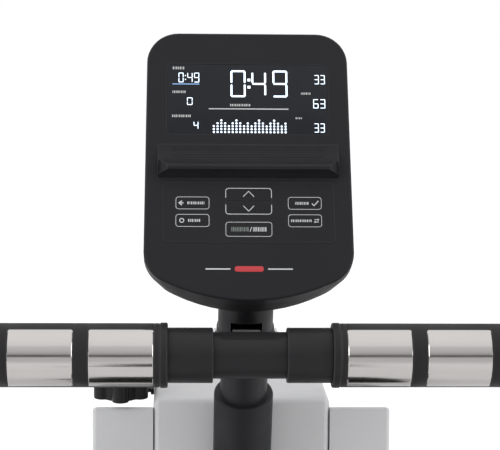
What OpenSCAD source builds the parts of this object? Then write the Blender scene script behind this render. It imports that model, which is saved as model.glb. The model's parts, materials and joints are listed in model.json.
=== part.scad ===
// Folding rowing machine. Millimetres, +Z up, +Y towards the flywheel, the user sits at -Y.
// The origin is on the floor, under the middle of the machine.

/* [Overall] */
// Half of the length from the rear stabilizer to the transport wheels
half_len = 985; // [980:1:1000]
// Half of the front stabilizer's width, with its end caps
half_width = 250; // [240:1:260]

/* [Mast] */
// Distance of the mast's reference point from the middle, along Y
mast_y = 405; // [400:1:410]
// Height of the mast's reference point
mast_z = 618; // [612:1:620]
// Lean of the mast towards the user, in degrees
mast_lean = 21.4; // [21:0.1:22]
// Outer radius of the mast tube
mast_r = 21; // [20.5:0.5:21]
// Outer radius of the neck sleeve
neck_r = 24; // [23.5:0.5:24.5]
// Outer radius of the boot
boot_r = 26.5; // [25.5:0.5:27]

/* [Console] */
// Lower front edge of the console, along Y
console_y = 320.6; // [318:0.1:322]
// Lower front edge of the console, height
console_z = 652.3; // [650:0.1:655]
// Lean of the console's face back from vertical, in degrees
console_lean = 30; // [29:1:31]
// Height of the face along its slope
console_h = 240; // [238:1:242]
// Half width of the face
console_hw = 87.2; // [86:0.1:88]
// Depth of the whole casing
console_d = 30; // [28:1:32]

/* [Handle] */
// Handle axis along Y when docked
handle_y = 302.5; // [300:0.5:305]
// Handle axis height
handle_z = 611; // [608:0.5:612]
// Radius of the grips
grip_r = 26; // [25:0.5:26]
// Radius of the side sleeves
sleeve_r = 22.5; // [21:0.5:22.5]
// Radius of the centre cover
hub_r = 19; // [18.5:0.5:19]
// Half of the handle's length
handle_half = 212; // [205:1:215]

/* [Seat and rail] */
// Height of the rail's middle and of its folding hinge
rail_z = 300; // [298:1:302]
// Folding hinge along Y
hinge_y = 140; // [138:1:142]
// Width of the rail
rail_w = 60; // [58:1:60]
// Height of the rail
rail_h = 50; // [48:1:50]
// Middle of the seat along Y, as it stands
seat_y = -350; // [-400:10:-300]
// Width of the seat pad
seat_w = 300; // [280:5:310]
// Depth of the seat pad
seat_d = 240; // [230:5:250]

/* [Drive] */
// Middle of the flywheel along Y
wheel_y = 775; // [773:1:777]
// Middle of the flywheel, height
wheel_z = 325; // [324:1:327]
// Radius of the flywheel
wheel_r = 145; // [140:1:146]
// Middle of the drive shaft along Y
drive_y = 590; // [589:1:592]
// Middle of the drive shaft, height
drive_z = 300; // [299:1:302]

/* [Shroud] */
// Height of the hump's top at its front edge
hump_z = 521; // [520:1:524]
// Half width of the hump
hump_hw = 81.5; // [81:0.5:82]
// Height of the shoulders' top front edge
shoulder_z = 512; // [510:1:514]
// Half width over the shoulders
shoulder_hw = 137.5; // [136:0.5:141]

/* [Hidden] */
$fn = 64;

fit = 0.05;         // radial clearance of a running fit
gap = 0.3;          // clearance between parts that move past each other
wall = 2.5;         // wall of a moulded shell
eps = 0.01;
weld = 0.5;         // how far welded pieces run into each other

// Main beam: centreline from its rear end to the front stabilizer
beam_a = [175, 235];
beam_b = [903, 80];
beam_w = 50;
beam_h = 80;
beam_t = 3;
beam_len = norm(beam_b - beam_a);
beam_fall = atan2(beam_a[1] - beam_b[1], beam_b[0] - beam_a[0]);

// Stabilizers
tube_r = 28;
tube_z = 40;
front_y = 903;
mid_y = 160;
rear_y = -half_len + tube_r;
foot_h = 16;
caster = [959, 32];   // middle of the transport wheels, in Y and Z
caster_r = 26;

// Mast stations, measured along the mast from its reference point, up positive
mast_top = 76;
mast_foot = -290;
socket_top = -245;
neck_low = -14;
neck_high = 62;
collar_low = -45;
collar_high = -14.5;
collar_r = 25;
roller_s = -20;
boot_high = -83;
boot_low = -200;

// Guide roller and pull strap
roller_r = 11;
strap_w = 24;
strap_t = 1.5;
slot_hw = 13.5;
pin_r = 4;

// Plates that carry the drive
plate_t = 5;
plate_x = beam_w / 2;
shaft_r = 8;
spool_r = 44;
pulley_r = 80;
small_pulley_r = 18;
brake_pin = [622, 357]; // pivot of the brake arm, in Y and Z
brake_pin_r = 5;
pulley_x = 34;
pulley_w = 16;
rim_x = -72;
rim_w = 38;

// Shroud
shroud_front_y = 480;
hump_r = 175;         // rounded rear of the hump, about the flywheel

// Console details, in the face's own frame: x across, y up the slope, z out of the face
lens = [-68.5, 146.4, 68.5, 210.7];
panel = [-71.8, 49.8, 71.8, 103.2];
ledge_hw = 76;
top_corner_r = 27;
low_corner_r = 28;
low_corner_y = 42;
bow_r = 160;
screw_at = [[-68, 30], [68, 30], [-68, 218], [68, 218]];
// Keys: middle x, middle y, width, height
key_table = [
    ["key_recovery", -46.8, 84.3, 28.4, 11.4],
    ["key_reset", -46.8, 68.9, 28.4, 11.4],
    ["key_up", 0, 92.2, 39, 11.2],
    ["key_down", 0, 79.8, 39, 11.2],
    ["key_start_stop", 0, 61.3, 39, 13.2],
    ["key_enter", 46.8, 84.3, 28.4, 11.4],
    ["key_display", 46.8, 68.9, 28.4, 11.4]
];

// Footplates
axle_y = 240;
axle_z = 222;
axle_r = 8;
plate_lean = 51.5;
plate_off = 22;
foot_x = 48;
foot_w = 110;

// Power inlet at the shroud's rear, in Y and Z
inlet = [950, 300];

// Side knob: where its underside stands
knob = [-111.5, 497, 518];
knob_r = 26;

// Pulse plates: where they start along the grip, and their length
plate_at = [78, 142.5];
plate_len = 52;

// Seat
carriage_hl = 92;
roller_big_r = 18;
axle_span = 70;

// ---------- shared shapes ----------

// Points of an arc, from angle a0 to a1
function arc(c, r, a0, a1, n = 10) =
    [for (i = [0:n]) c + r * [cos(a0 + (a1 - a0) * i / n), sin(a0 + (a1 - a0) * i / n)]];

// A profile drawn in Y and Z, extruded along X from x0 to x1
module side_extrude(x0, x1) {
    translate([x0, 0, 0])
        rotate([90, 0, 90])
            linear_extrude(height = x1 - x0) children();
}

// A cylinder along X from x0 to x1, centred on y and z
module x_cyl(x0, x1, y, z, r) {
    translate([x0, y, z])
        rotate([0, 90, 0])
            cylinder(h = x1 - x0, r = r);
}

// A ring along X
module x_ring(x0, x1, y, z, r_out, r_in) {
    difference() {
        x_cyl(x0, x1, y, z, r_out);
        x_cyl(x0 - 1, x1 + 1, y, z, r_in);
    }
}

// A rounded rectangle made of exact arcs
module round_rect(x0, y0, x1, y1, r) {
    translate([x0 + r, y0]) square([x1 - x0 - 2 * r, y1 - y0]);
    translate([x0, y0 + r]) square([x1 - x0, y1 - y0 - 2 * r]);
    for (x = [x0 + r, x1 - r], y = [y0 + r, y1 - r])
        translate([x, y]) circle(r = r);
}

module at_mast(s = 0) {
    translate([0, mast_y, mast_z])
        rotate([mast_lean, 0, 0])
            translate([0, 0, s]) children();
}

module at_console(z = 0) {
    translate([0, console_y, console_z])
        rotate([90 - console_lean, 0, 0])
            translate([0, 0, z]) children();
}

module at_beam() {
    translate([0, beam_a[0], beam_a[1]])
        rotate([-beam_fall, 0, 0]) children();
}

// ---------- frame ----------

module plate_outline() {
    difference() {
        polygon([
            [474, 412], [500, 428], [560, 446], [612, 380], [640, 366], [700, 352],
            [760, 362], [795, 350], [812, 322], [830, 122], [560, 180], [520, 210]
        ]);
        polygon([[650, 322], [735, 316], [748, 290], [756, 170], [650, 200]]);
    }
}

module main_frame() {
    color([0.12, 0.12, 0.13]) difference() {
        union() {
            // closed box beam with its hollow taken out
            difference() {
                at_beam() translate([-beam_w / 2, 0, -beam_h / 2])
                    cube([beam_w, beam_len, beam_h]);
                at_beam() translate([-beam_w / 2 + beam_t, 45, -beam_h / 2 + beam_t])
                    cube([beam_w - 2 * beam_t, beam_len - 80, beam_h - 2 * beam_t]);
            }
            // post and cross tube at the rear of the frame
            translate([-20, mid_y, tube_z + 12]) cube([40, 50, 150]);
            x_cyl(-190, 190, mid_y + 25, tube_z, tube_r - 4);
            // yoke and the two ears of the folding hinge
            for (side = [-1, 1])
                translate([side * 38 - 2.5, 0, 0]) side_extrude(0, 5)
                    polygon(concat(
                        arc([hinge_y, rail_z], 22, 100, 220),
                        [[176, 205], [226, 193], [226, 262], [183, 275]]
                    ));
            translate([-36, 178, 205]) cube([72, 46, 28]);
            // plates that carry the mast socket and the drive
            for (x = [-plate_x - plate_t, plate_x - weld])
                side_extrude(x, x + plate_t + weld) plate_outline();
            // mast socket
            at_mast(mast_foot) translate([-plate_x, -27, 0])
                cube([2 * plate_x, 54, socket_top - mast_foot]);
            // bearing tube for the flywheel's shaft
            x_cyl(-plate_x - 1, plate_x + 1, wheel_y, wheel_z, 17);
            // boss for the brake arm's pin
            x_cyl(-plate_x - 10, -plate_x, brake_pin[0], brake_pin[1], 11);
        }
        at_mast(mast_foot - 1) cylinder(h = 200, r = mast_r + fit);
        x_cyl(-100, 100, front_y, tube_z, tube_r);
        x_cyl(-100, 100, wheel_y, wheel_z, shaft_r + fit);
        x_cyl(-100, 100, drive_y, drive_z, shaft_r);
        x_cyl(-100, 100, hinge_y, rail_z, 8);
        x_cyl(-100, 100, axle_y, axle_z, axle_r);
        x_cyl(-100, 0, brake_pin[0], brake_pin[1], brake_pin_r + fit);
    }
}

module front_stabilizer() {
    color([0.12, 0.12, 0.13]) {
        x_ring(-half_width + 14, half_width - 14, front_y, tube_z, tube_r, tube_r - 2);
        for (side = [-1, 1]) {
            // end caps
            x_cyl(side > 0 ? half_width - 14 : -half_width, side > 0 ? half_width : 14 - half_width,
                front_y, tube_z, tube_r + 1);
            // forks of the transport wheels
            for (x = [130, 167])
                translate([side * x + (side > 0 ? 0 : -4), 0, 0]) side_extrude(0, 4)
                    difference() {
                        union() {
                            polygon([[915, 16], [957, 21], [961, 43], [915, 62]]);
                            translate(caster) circle(r = 11);
                        }
                        translate(caster) circle(r = 5);
                        translate([front_y, tube_z]) circle(r = tube_r);
                    }
        }
    }
}

// One rubber foot under a round tube
module tube_foot(x, y, r, w = 46, d = 44) {
    difference() {
        translate([x - w / 2, y - d / 2, 0]) cube([w, d, foot_h + 4]);
        x_cyl(x - w, x + w, y, tube_z, r + fit);
    }
}

module frame_feet() {
    color([0.08, 0.08, 0.08]) {
        for (x = [-205, 205])
            tube_foot(x, front_y, tube_r);
        for (x = [-160, 160])
            tube_foot(x, mid_y + 25, tube_r - 4);
    }
}

// Slot where the strap comes out, behind the docked handle
module strap_slot() {
    translate([-slot_hw, mast_y - 40, handle_z - 6]) cube([2 * slot_hw, 40, 12]);
}

module mast_tube() {
    color([0.16, 0.16, 0.17]) difference() {
        at_mast(mast_foot) cylinder(h = mast_top - mast_foot, r = mast_r);
        at_mast(mast_foot - 1) cylinder(h = mast_top - mast_foot + 2, r = mast_r - 2.5);
        strap_slot();
        at_mast(roller_s) rotate([0, 90, 0]) cylinder(h = 100, r = pin_r, center = true);
    }
}

module mast_boot() {
    color([0.1, 0.1, 0.1]) at_mast() rotate_extrude()
        polygon(concat(
            [[mast_r + fit, boot_low], [boot_r, boot_low], [boot_r, boot_high - 8]],
            arc([boot_r - 4.5, boot_high - 5], 4.5, 0, 90, 6),
            [[mast_r + fit, boot_high]]
        ));
}

module neck_sleeve() {
    color([0.15, 0.15, 0.16]) difference() {
        at_mast() rotate_extrude() polygon([
            [mast_r + fit, neck_low], [neck_r + 1.2, neck_low], [neck_r + 1.2, neck_low + 3],
            [neck_r, neck_low + 5], [neck_r, neck_high], [mast_r + fit, neck_high]
        ]);
        strap_slot();
    }
}

module handle_cradle() {
    color([0.1, 0.1, 0.11]) difference() {
        union() {
            at_mast(collar_low) cylinder(h = collar_high - collar_low, r = collar_r);
            // two cheeks behind the docked handle, with the saddle between them
            for (x = [-20, 14.5])
                side_extrude(x, x + 5.5) polygon([
                    [308, 591.5], [313.8, 589.8], [340, 582.5], [404, 570], [404, 597],
                    [330, 618.5], [321.7, 624.5], [316, 622], [316, 600]
                ]);
            side_extrude(-20, 20) polygon([
                [308, 591.5], [313.8, 589.8], [340, 582.5], [396, 571.5], [396, 579.5],
                [340, 590], [322, 596], [316, 600]
            ]);
        }
        at_mast(-200) cylinder(h = 400, r = mast_r + fit);
        at_mast(neck_low - gap) cylinder(h = 80, r = neck_r + 1.2 + gap);
        // room for the docked handle
        x_cyl(-40, 40, handle_y, handle_z, hub_r + 0.4);
        at_mast(roller_s) rotate([0, 90, 0]) cylinder(h = 100, r = pin_r, center = true);
    }
}

// ---------- shroud ----------

// The hump's side profile, grown outwards by g
module hump_profile(g = 0) {
    front = [shroud_front_y, hump_z];
    low = g < 0 ? 40 : 0;       // the hollow runs out through the underside, walls kept even
    polygon(concat(
        [[front[0] - g, front[1] + g]],
        arc([wheel_y, wheel_z], hump_r + g, 86, -38, 24),
        [[905 + g - 0.07 * low, 98 - low], [441 - g - 0.115 * low, 180 - low]]
    ));
}

// The shoulders' side profile: its roof falls away behind the front edge
module shoulder_profile(g = 0) {
    low = g < 0 ? 40 : 0;
    polygon(concat(
        [[shroud_front_y - 1 - g, shoulder_z - 3 + g], [shroud_front_y + 2 - g, shoulder_z + g]],
        [[700, 400 + g], [832, 318 + g]],
        arc([860, 235], 62 + g, 78, -20, 10),
        [[905 + g - 0.115 * low, 98 - low], [441 - g - 0.115 * low, 180 - low]]
    ));
}

module center_shroud() {
    color([0.72, 0.72, 0.73]) difference() {
        side_extrude(-hump_hw, hump_hw) hump_profile();
        side_extrude(-hump_hw + wall, hump_hw - wall) hump_profile(-wall);
        // long hole that the mast and its boot pass through
        at_mast(-250) cylinder(h = 220, r = boot_r + gap);
        // way for the main beam through the walls
        at_beam() translate([-beam_w / 2 - gap, 0, -beam_h / 2 - gap])
            cube([beam_w + 2 * gap, beam_len + 2, beam_h + 2 * gap]);
        // hole of the power inlet
        translate([0, inlet[0] + 20, inlet[1]]) rotate([90, 0, 0]) cylinder(h = 40, r = 6);
    }
}

// A shoulder between x0 and x1 with its outer side rounded at the top
module shoulder(side) {
    x0 = side > 0 ? hump_hw : -shoulder_hw;
    x1 = side > 0 ? shoulder_hw : -hump_hw;
    in0 = side > 0 ? x0 : x0 + wall;
    in1 = side > 0 ? x1 - wall : x1;
    difference() {
        side_extrude(x0, x1) shoulder_profile();
        side_extrude(in0 - (side > 0 ? 1 : 0), in1 + (side > 0 ? 0 : 1)) shoulder_profile(-wall);
    }
}

module left_shroud() {
    color([0.7, 0.7, 0.71]) shoulder(-1);
}

module right_shroud() {
    color([0.7, 0.7, 0.71]) shoulder(1);
}

module knob_bracket() {
    color([0.07, 0.07, 0.07]) {
        // flange on the hump's side and the lug that reaches under the knob
        translate([-hump_hw - 3, 521, knob[2] - 6]) cube([3, 30, 6]);
        translate([0, 0, knob[2] - 4]) linear_extrude(height = 4)
            polygon(concat(
                [[-hump_hw - 3, 522], [-hump_hw - 3, 548]],
                arc([knob[0], knob[1] + 4], 10, 110, 290, 10),
                [[-98, 500], [-92, 522]]
            ));
        translate([knob[0], knob[1], knob[2] - eps]) cylinder(h = 20, r = 5);
    }
}

module side_knob() {
    color([0.06, 0.06, 0.06]) difference() {
        translate([knob[0], knob[1], knob[2] + 0.1]) linear_extrude(height = 24) {
            circle(r = knob_r - 7);
            for (i = [0:4])
                rotate([0, 0, i * 72 - 90]) translate([knob_r - 8, 0]) circle(r = 8);
        }
        translate([knob[0], knob[1], knob[2] - 1]) cylinder(h = 22, r = 5 + fit);
    }
}

module power_inlet() {
    color([0.05, 0.05, 0.05]) translate([0, inlet[0], inlet[1]]) rotate([90, 0, 0]) difference() {
        union() {
            translate([0, 0, -3]) cylinder(h = 27, r = 6);
            translate([0, 0, -3]) cylinder(h = 2.4, r = 8.5);
        }
        translate([0, 0, -7]) cylinder(h = 20, r = 2.75);
    }
}

// ---------- console ----------

// Outline of the casing, made smaller by g: its lower edge is one wide bow
module face_outline(g = 0) {
    top_hw = console_hw - 1.4;
    meet = atan2(bow_r - low_corner_y, console_hw - low_corner_r);
    polygon(concat(
        arc([top_hw - top_corner_r, console_h - top_corner_r], top_corner_r - g, 0, 90),
        arc([-top_hw + top_corner_r, console_h - top_corner_r], top_corner_r - g, 90, 180),
        arc([low_corner_r - console_hw, low_corner_y], low_corner_r - g, 180, 180 + meet, 7),
        arc([0, bow_r], bow_r - g, 182 + meet, 358 - meet, 12),
        arc([console_hw - low_corner_r, low_corner_y], low_corner_r - g, 360 - meet, 360, 7)
    ));
}

// Outline of the casing's rear: narrower, and a little lower
module rear_outline(g = 0) {
    translate([0, -2.5]) scale([0.93, 1]) face_outline(g);
}

module key_cutouts(z0, z1, g) {
    for (k = key_table)
        translate([0, 0, z0]) linear_extrude(height = z1 - z0)
            round_rect(k[1] - k[3] / 2 - g, k[2] - k[4] / 2 - g,
                k[1] + k[3] / 2 + g, k[2] + k[4] / 2 + g, 3);
}

module ledge() {
    // ribbed phone ledge, with a lip along its front
    difference() {
        rotate([90, 0, 90]) translate([0, 0, -ledge_hw])
            linear_extrude(height = 2 * ledge_hw)
                polygon(concat(
                    [[106, -1], [137, -1], [137, 0.4], [130, 1.5], [123, 4.5]],
                    [[117, 9], [114.5, 13.5], [112.5, 14], [110.5, 12.5], [109, 6]]
                ));
        for (side = [-1, 1])
            translate([side * ledge_hw, 112, 14]) rotate([0, side * 45, 0])
                cube([10, 70, 14], center = true);
    }
}

module console_front() {
    color([0.13, 0.13, 0.14]) at_console() difference() {
        union() {
            difference() {
                translate([0, 0, -12]) linear_extrude(height = 12) face_outline();
                translate([0, 0, -13]) linear_extrude(height = 13 - wall) face_outline(wall);
            }
            ledge();
            for (p = screw_at)
                translate([p[0], p[1], -12]) cylinder(h = 12 - wall + eps, r = 4);
        }
        translate([0, 0, -wall - 1]) linear_extrude(height = wall + 2)
            round_rect(lens[0], lens[1], lens[2], lens[3], 4);
        key_cutouts(-wall - 1, 1, gap);
        for (p = screw_at)
            translate([p[0], p[1], -13]) cylinder(h = 9, r = 1.5);
    }
}

module console_back() {
    color([0.12, 0.12, 0.13]) difference() {
        union() {
            difference() {
                at_console() hull() {
                    translate([0, 0, -14]) linear_extrude(height = 2) face_outline();
                    translate([0, 0, -console_d]) linear_extrude(height = 1) rear_outline(1.5);
                }
                at_console() hull() {
                    translate([0, 0, -12.5]) linear_extrude(height = 1) face_outline(wall);
                    translate([0, 0, wall - console_d]) linear_extrude(height = 1)
                        rear_outline(1.5 + wall);
                }
            }
            // towers that the screws pass through
            at_console() for (p = screw_at)
                translate([p[0], p[1], 1 - console_d]) cylinder(h = console_d - 13.3, r = 5);
            // bulge where the mast enters
            at_console() hull() {
                translate([-38, 12, -console_d]) cube([76, 130, 1]);
                translate([-30, 24, -44]) cube([60, 66, 1]);
            }
        }
        at_mast(-50) cylinder(h = mast_top + 50 + eps, r = mast_r);
        at_mast(-50) cylinder(h = neck_high + 50, r = neck_r);
        at_console() for (p = screw_at) {
            translate([p[0], p[1], -40]) cylinder(h = 22, r = 3.3);
            translate([p[0], p[1], -40]) cylinder(h = 40, r = 1.6);
        }
    }
}

module console_lens() {
    color([0.03, 0.035, 0.05]) at_console(-wall) linear_extrude(height = wall - 0.3)
        round_rect(lens[0], lens[1], lens[2], lens[3], 4);
}

module lcd_module() {
    color([0.05, 0.06, 0.09]) at_console(-7) translate([-71, 144, 0])
        cube([142, 69.5, 4.4]);
}

module console_board() {
    color([0.05, 0.25, 0.12]) at_console(-9) translate([-74, 44, 0]) cube([148, 170, 1.6]);
}

module membrane_panel() {
    color([0.11, 0.11, 0.12]) at_console() difference() {
        linear_extrude(height = 0.4) round_rect(panel[0], panel[1], panel[2], panel[3], 5);
        key_cutouts(-1, 2, gap);
    }
}

// One key: a cap that shows in the panel, on a wider flange behind the front wall
module key(i) {
    k = key_table[i];
    color([0.14, 0.14, 0.15]) at_console() {
        translate([0, 0, -wall - gap]) linear_extrude(height = wall + gap + 0.7)
            round_rect(k[1] - k[3] / 2, k[2] - k[4] / 2, k[1] + k[3] / 2, k[2] + k[4] / 2, 2.7);
        translate([k[1] - k[3] / 2 - 0.1, k[2] - k[4] / 2 - 0.1, -wall - gap - 1])
            cube([k[3] + 0.2, k[4] + 0.2, 1 + eps]);
    }
}

module key_recovery() {
    key(0);
}

module key_reset() {
    key(1);
}

module key_up() {
    key(2);
}

module key_down() {
    key(3);
}

module key_start_stop() {
    key(4);
}

module key_enter() {
    key(5);
}

module key_display() {
    key(6);
}

// Screws of the console, the roller's pin and the bolts of the transport wheels
module fasteners() {
    color([0.6, 0.6, 0.62]) {
        at_console() for (p = screw_at) {
            translate([p[0], p[1], -18]) cylinder(h = 14, r = 1.5);
            translate([p[0], p[1], -20]) cylinder(h = 2, r = 3);
        }
        at_mast(roller_s) rotate([0, 90, 0]) cylinder(h = 52, r = pin_r, center = true);
        for (side = [-1, 1]) {
            x_cyl(side > 0 ? 126 : -175, side > 0 ? 175 : -126, caster[0], caster[1], 5);
            x_cyl(side > 0 ? 171 : -177, side > 0 ? 177 : -171, caster[0], caster[1], 8);
        }
    }
}

// ---------- drive ----------

module guide_roller() {
    color([0.2, 0.2, 0.2]) at_mast(roller_s) rotate([0, 90, 0]) difference() {
        cylinder(h = 25, r = roller_r, center = true);
        cylinder(h = 30, r = pin_r + fit, center = true);
    }
}

module strap_spool() {
    color([0.15, 0.15, 0.16]) difference() {
        union() {
            x_cyl(-13, 13, drive_y, drive_z, spool_r - 1);
            x_cyl(-16, -13, drive_y, drive_z, spool_r + 3);
            x_cyl(13, 16, drive_y, drive_z, spool_r + 3);
        }
        x_cyl(-20, 20, drive_y, drive_z, shaft_r + fit);
    }
}

module drive_shaft() {
    color([0.65, 0.65, 0.67]) {
        x_cyl(-plate_x - plate_t, 56, drive_y, drive_z, shaft_r);
        x_cyl(-plate_x - plate_t - 1.5, -plate_x - plate_t, drive_y, drive_z, 12);
    }
}

module drive_pulley() {
    color([0.18, 0.18, 0.18]) difference() {
        union() {
            x_cyl(pulley_x, pulley_x + pulley_w, drive_y, drive_z, pulley_r);
            x_cyl(pulley_x - 2, pulley_x + pulley_w + 3, drive_y, drive_z, 18);
        }
        // dished sides
        x_ring(pulley_x - 1, pulley_x + 4, drive_y, drive_z, pulley_r - 10, 24);
        x_ring(pulley_x + pulley_w - 4, pulley_x + pulley_w + 1, drive_y, drive_z,
            pulley_r - 10, 24);
        x_cyl(0, 100, drive_y, drive_z, shaft_r + fit);
    }
}

module flywheel() {
    color([0.3, 0.3, 0.31]) difference() {
        x_cyl(rim_x, rim_x + rim_w, wheel_y, wheel_z, wheel_r);
        x_ring(rim_x - 1, rim_x + 13, wheel_y, wheel_z, wheel_r - 36, 24);
        x_ring(rim_x + rim_w - 13, rim_x + rim_w + 1, wheel_y, wheel_z, wheel_r - 36, 24);
        x_cyl(-100, 0, wheel_y, wheel_z, shaft_r);
    }
}

module flywheel_shaft() {
    color([0.65, 0.65, 0.67]) {
        x_cyl(rim_x - 3, pulley_x + pulley_w + 3, wheel_y, wheel_z, shaft_r);
        x_ring(pulley_x, pulley_x + pulley_w, wheel_y, wheel_z, small_pulley_r, shaft_r - 1);
    }
}

// Flat belt around both pulleys, made of the two tangents and two arcs
module drive_belt() {
    d = [wheel_y - drive_y, wheel_z - drive_z];
    tilt = atan2(d[1], d[0]);
    dist = norm(d);
    wrap = asin((pulley_r - small_pulley_r) / dist);
    color([0.06, 0.06, 0.06]) side_extrude(pulley_x + 2, pulley_x + pulley_w - 2)
        difference() {
            belt_outline(2.2, tilt, wrap);
            belt_outline(gap, tilt, wrap);
        }
}

module belt_outline(g, tilt, wrap) {
    polygon(concat(
        arc([drive_y, drive_z], pulley_r + g, tilt + 90 - wrap, tilt + 270 + wrap, 30),
        arc([wheel_y, wheel_z], small_pulley_r + g, tilt - 90 + wrap, tilt + 90 - wrap, 14)
    ));
}

module servo_motor() {
    color([0.09, 0.09, 0.1]) {
        translate([plate_x + plate_t, 512, 394]) cube([34, 38, 52]);
        x_cyl(64, 70, 531, 420, 12);
    }
}

// Arm that carries the magnets over the flywheel's rim
module brake_arm() {
    color([0.55, 0.56, 0.58]) difference() {
        union() {
            side_extrude(rim_x, rim_x + rim_w - 1) polygon(concat(
                arc([wheel_y, wheel_z], 159, 156, 111, 14),
                arc([wheel_y, wheel_z], 165, 111, 156, 14)
            ));
            side_extrude(-44, -38) polygon(concat(
                arc(brake_pin, 11, 120, 300, 12),
                [[633, 373]],
                arc([wheel_y, wheel_z], 160, 156, 150, 2),
                [[622, 400]]
            ));
        }
        x_cyl(-100, 0, brake_pin[0], brake_pin[1], brake_pin_r + fit);
    }
    color([0.65, 0.65, 0.67]) difference() {
        x_cyl(-46, -38, brake_pin[0], brake_pin[1], 7);
        x_cyl(-50, 0, brake_pin[0], brake_pin[1], brake_pin_r + fit);
    }
}

module brake_magnets() {
    color([0.45, 0.45, 0.47]) for (a = [116:9:152])
        translate([0, wheel_y, wheel_z]) rotate([a, 0, 0])
            translate([rim_x + 3, 149.5, -8]) cube([rim_w - 7, 9, 16]);
}

// ---------- handle ----------

// A ring about the handle's axis, on both sides or across the middle
module bar_ring(x0, x1, r_out, r_in) {
    x_ring(x0, x1, handle_y, handle_z, r_out, r_in);
}

module handle_tube() {
    color([0.5, 0.5, 0.52]) bar_ring(6 - handle_half, handle_half - 6, 11, 9);
}

module handle_hub() {
    color([0.14, 0.14, 0.15]) {
        bar_ring(-30, 30, hub_r, 11);
        // eye that the strap is sewn to
        difference() {
            side_extrude(-13.5, 13.5) polygon([
                [handle_y + 17.5, handle_z - 6], [handle_y + 22, handle_z - 5],
                [handle_y + 27, handle_z - 2], [handle_y + 27, handle_z + 3],
                [handle_y + 17.5, handle_z + 6]
            ]);
            bar_clear();
        }
    }
}

module bar_clear() {
    x_cyl(-50, 50, handle_y, handle_z, hub_r - 0.5);
}

module handle_sleeves() {
    color([0.12, 0.12, 0.13]) {
        bar_ring(-66.5, -30, sleeve_r, 11);
        bar_ring(30, 66.5, sleeve_r, 11);
    }
}

// One grip on the +X side: a thick moulded body with shallow seats for its plates
module grip() {
    difference() {
        union() {
            bar_ring(66.5, 73, grip_r + 0.5, 11);
            bar_ring(73, handle_half - 6, grip_r, 11);
            // closed end
            translate([handle_half - 6, handle_y, handle_z]) rotate([0, 90, 0])
                rotate_extrude() polygon([[0, 0], [26, 0], [26, 2], [24.5, 4.5], [20, 6], [0, 6]]);
        }
        for (x = plate_at)
            plate_pair(x, grip_r + 1);
    }
}

module handle_grips() {
    color([0.1, 0.1, 0.1]) {
        grip();
        mirror([1, 0, 0]) grip();
    }
}

// Bright plates that sense the pulse: a front and a rear half at each of four places
module contact_plates() {
    color([0.8, 0.8, 0.82]) for (x = plate_at) {
        plate_pair(x, grip_r);
        plate_pair(-x - plate_len, grip_r);
    }
}

// A front and a rear plate on the grip from x on, parted by strips of grip above and below
module plate_pair(x, r_out) {
    difference() {
        bar_ring(x, x + plate_len, r_out, grip_r - 1);
        translate([x - 1, handle_y - 9.5, handle_z]) cube([plate_len + 2, 19, 40]);
        translate([x - 1, handle_y - 13, handle_z - 40]) cube([plate_len + 2, 26, 40]);
    }
}

// Webbing from the handle's eye to the slot in the mast
module pull_strap() {
    color([0.08, 0.08, 0.08]) translate([-strap_w / 2, handle_y + 27, handle_z - 0.8])
        cube([strap_w, 52, strap_t]);
}

// ---------- seat and rail ----------

module rail_beam() {
    y_end = -half_len + 5;
    color([0.75, 0.76, 0.78]) difference() {
        union() {
            difference() {
                translate([-rail_w / 2, y_end, rail_z - rail_h / 2])
                    cube([rail_w, 112 - y_end, rail_h]);
                translate([-rail_w / 2 + 3, y_end + 6, rail_z - rail_h / 2 + 3])
                    cube([rail_w - 6, 100 - y_end, rail_h - 6]);
            }
            // cheeks of the folding hinge
            for (x = [-35, 30])
                side_extrude(x, x + 5) polygon(concat(
                    arc([hinge_y, rail_z], 20, 90, -90, 16),
                    [[20, 280], [20, 320]]
                ));
            x_cyl(-31, 31, hinge_y, rail_z, 14);
        }
        x_cyl(-60, 60, hinge_y, rail_z, 8 + fit);
    }
}

module hinge_pin() {
    color([0.65, 0.65, 0.67]) {
        x_cyl(-46, 46, hinge_y, rail_z, 8);
        x_cyl(-50, -41, hinge_y, rail_z, 12);
        x_cyl(41, 50, hinge_y, rail_z, 12);
    }
}

module rear_leg() {
    color([0.12, 0.12, 0.13]) {
        difference() {
            union() {
                translate([-20, rear_y - 20, tube_z]) cube([40, 40, rail_z - rail_h / 2 - tube_z]);
                x_cyl(-190, 190, rear_y, tube_z, tube_r - 2);
            }
            translate([-17, rear_y - 17, tube_z + 30]) cube([34, 34, 180]);
        }
        for (side = [-1, 1])
            x_cyl(side > 0 ? 190 : -204, side > 0 ? 204 : -190, rear_y, tube_z, tube_r);
    }
}

module rear_feet() {
    color([0.08, 0.08, 0.08]) for (x = [-150, 150])
        tube_foot(x, rear_y, tube_r - 2);
}

module rail_bumpers() {
    color([0.1, 0.1, 0.1]) for (y = [-26, -954])
        translate([-6, y, rail_z + rail_h / 2]) cube([12, 20, 20]);
}

module seat_carriage() {
    top = rail_z + rail_h / 2;
    low = rail_z - rail_h / 2;
    color([0.14, 0.14, 0.15]) {
        translate([-44, seat_y - carriage_hl, top + 38]) cube([88, 2 * carriage_hl, 4]);
        for (x = [-44, 40])
            translate([x, seat_y - carriage_hl, low - 24]) cube([4, 2 * carriage_hl, 90]);
        for (y = [seat_y - carriage_hl, seat_y + carriage_hl - 3])
            translate([-41, y, top + 6]) cube([82, 3, 34]);
        // fixed axles, and guard bars under the rail
        for (y = [seat_y - axle_span, seat_y + axle_span]) {
            x_cyl(-41, 41, y, top + roller_big_r + 0.2, 5);
            x_cyl(-41, 41, y, low - 12, 9);
        }
    }
}

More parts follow.
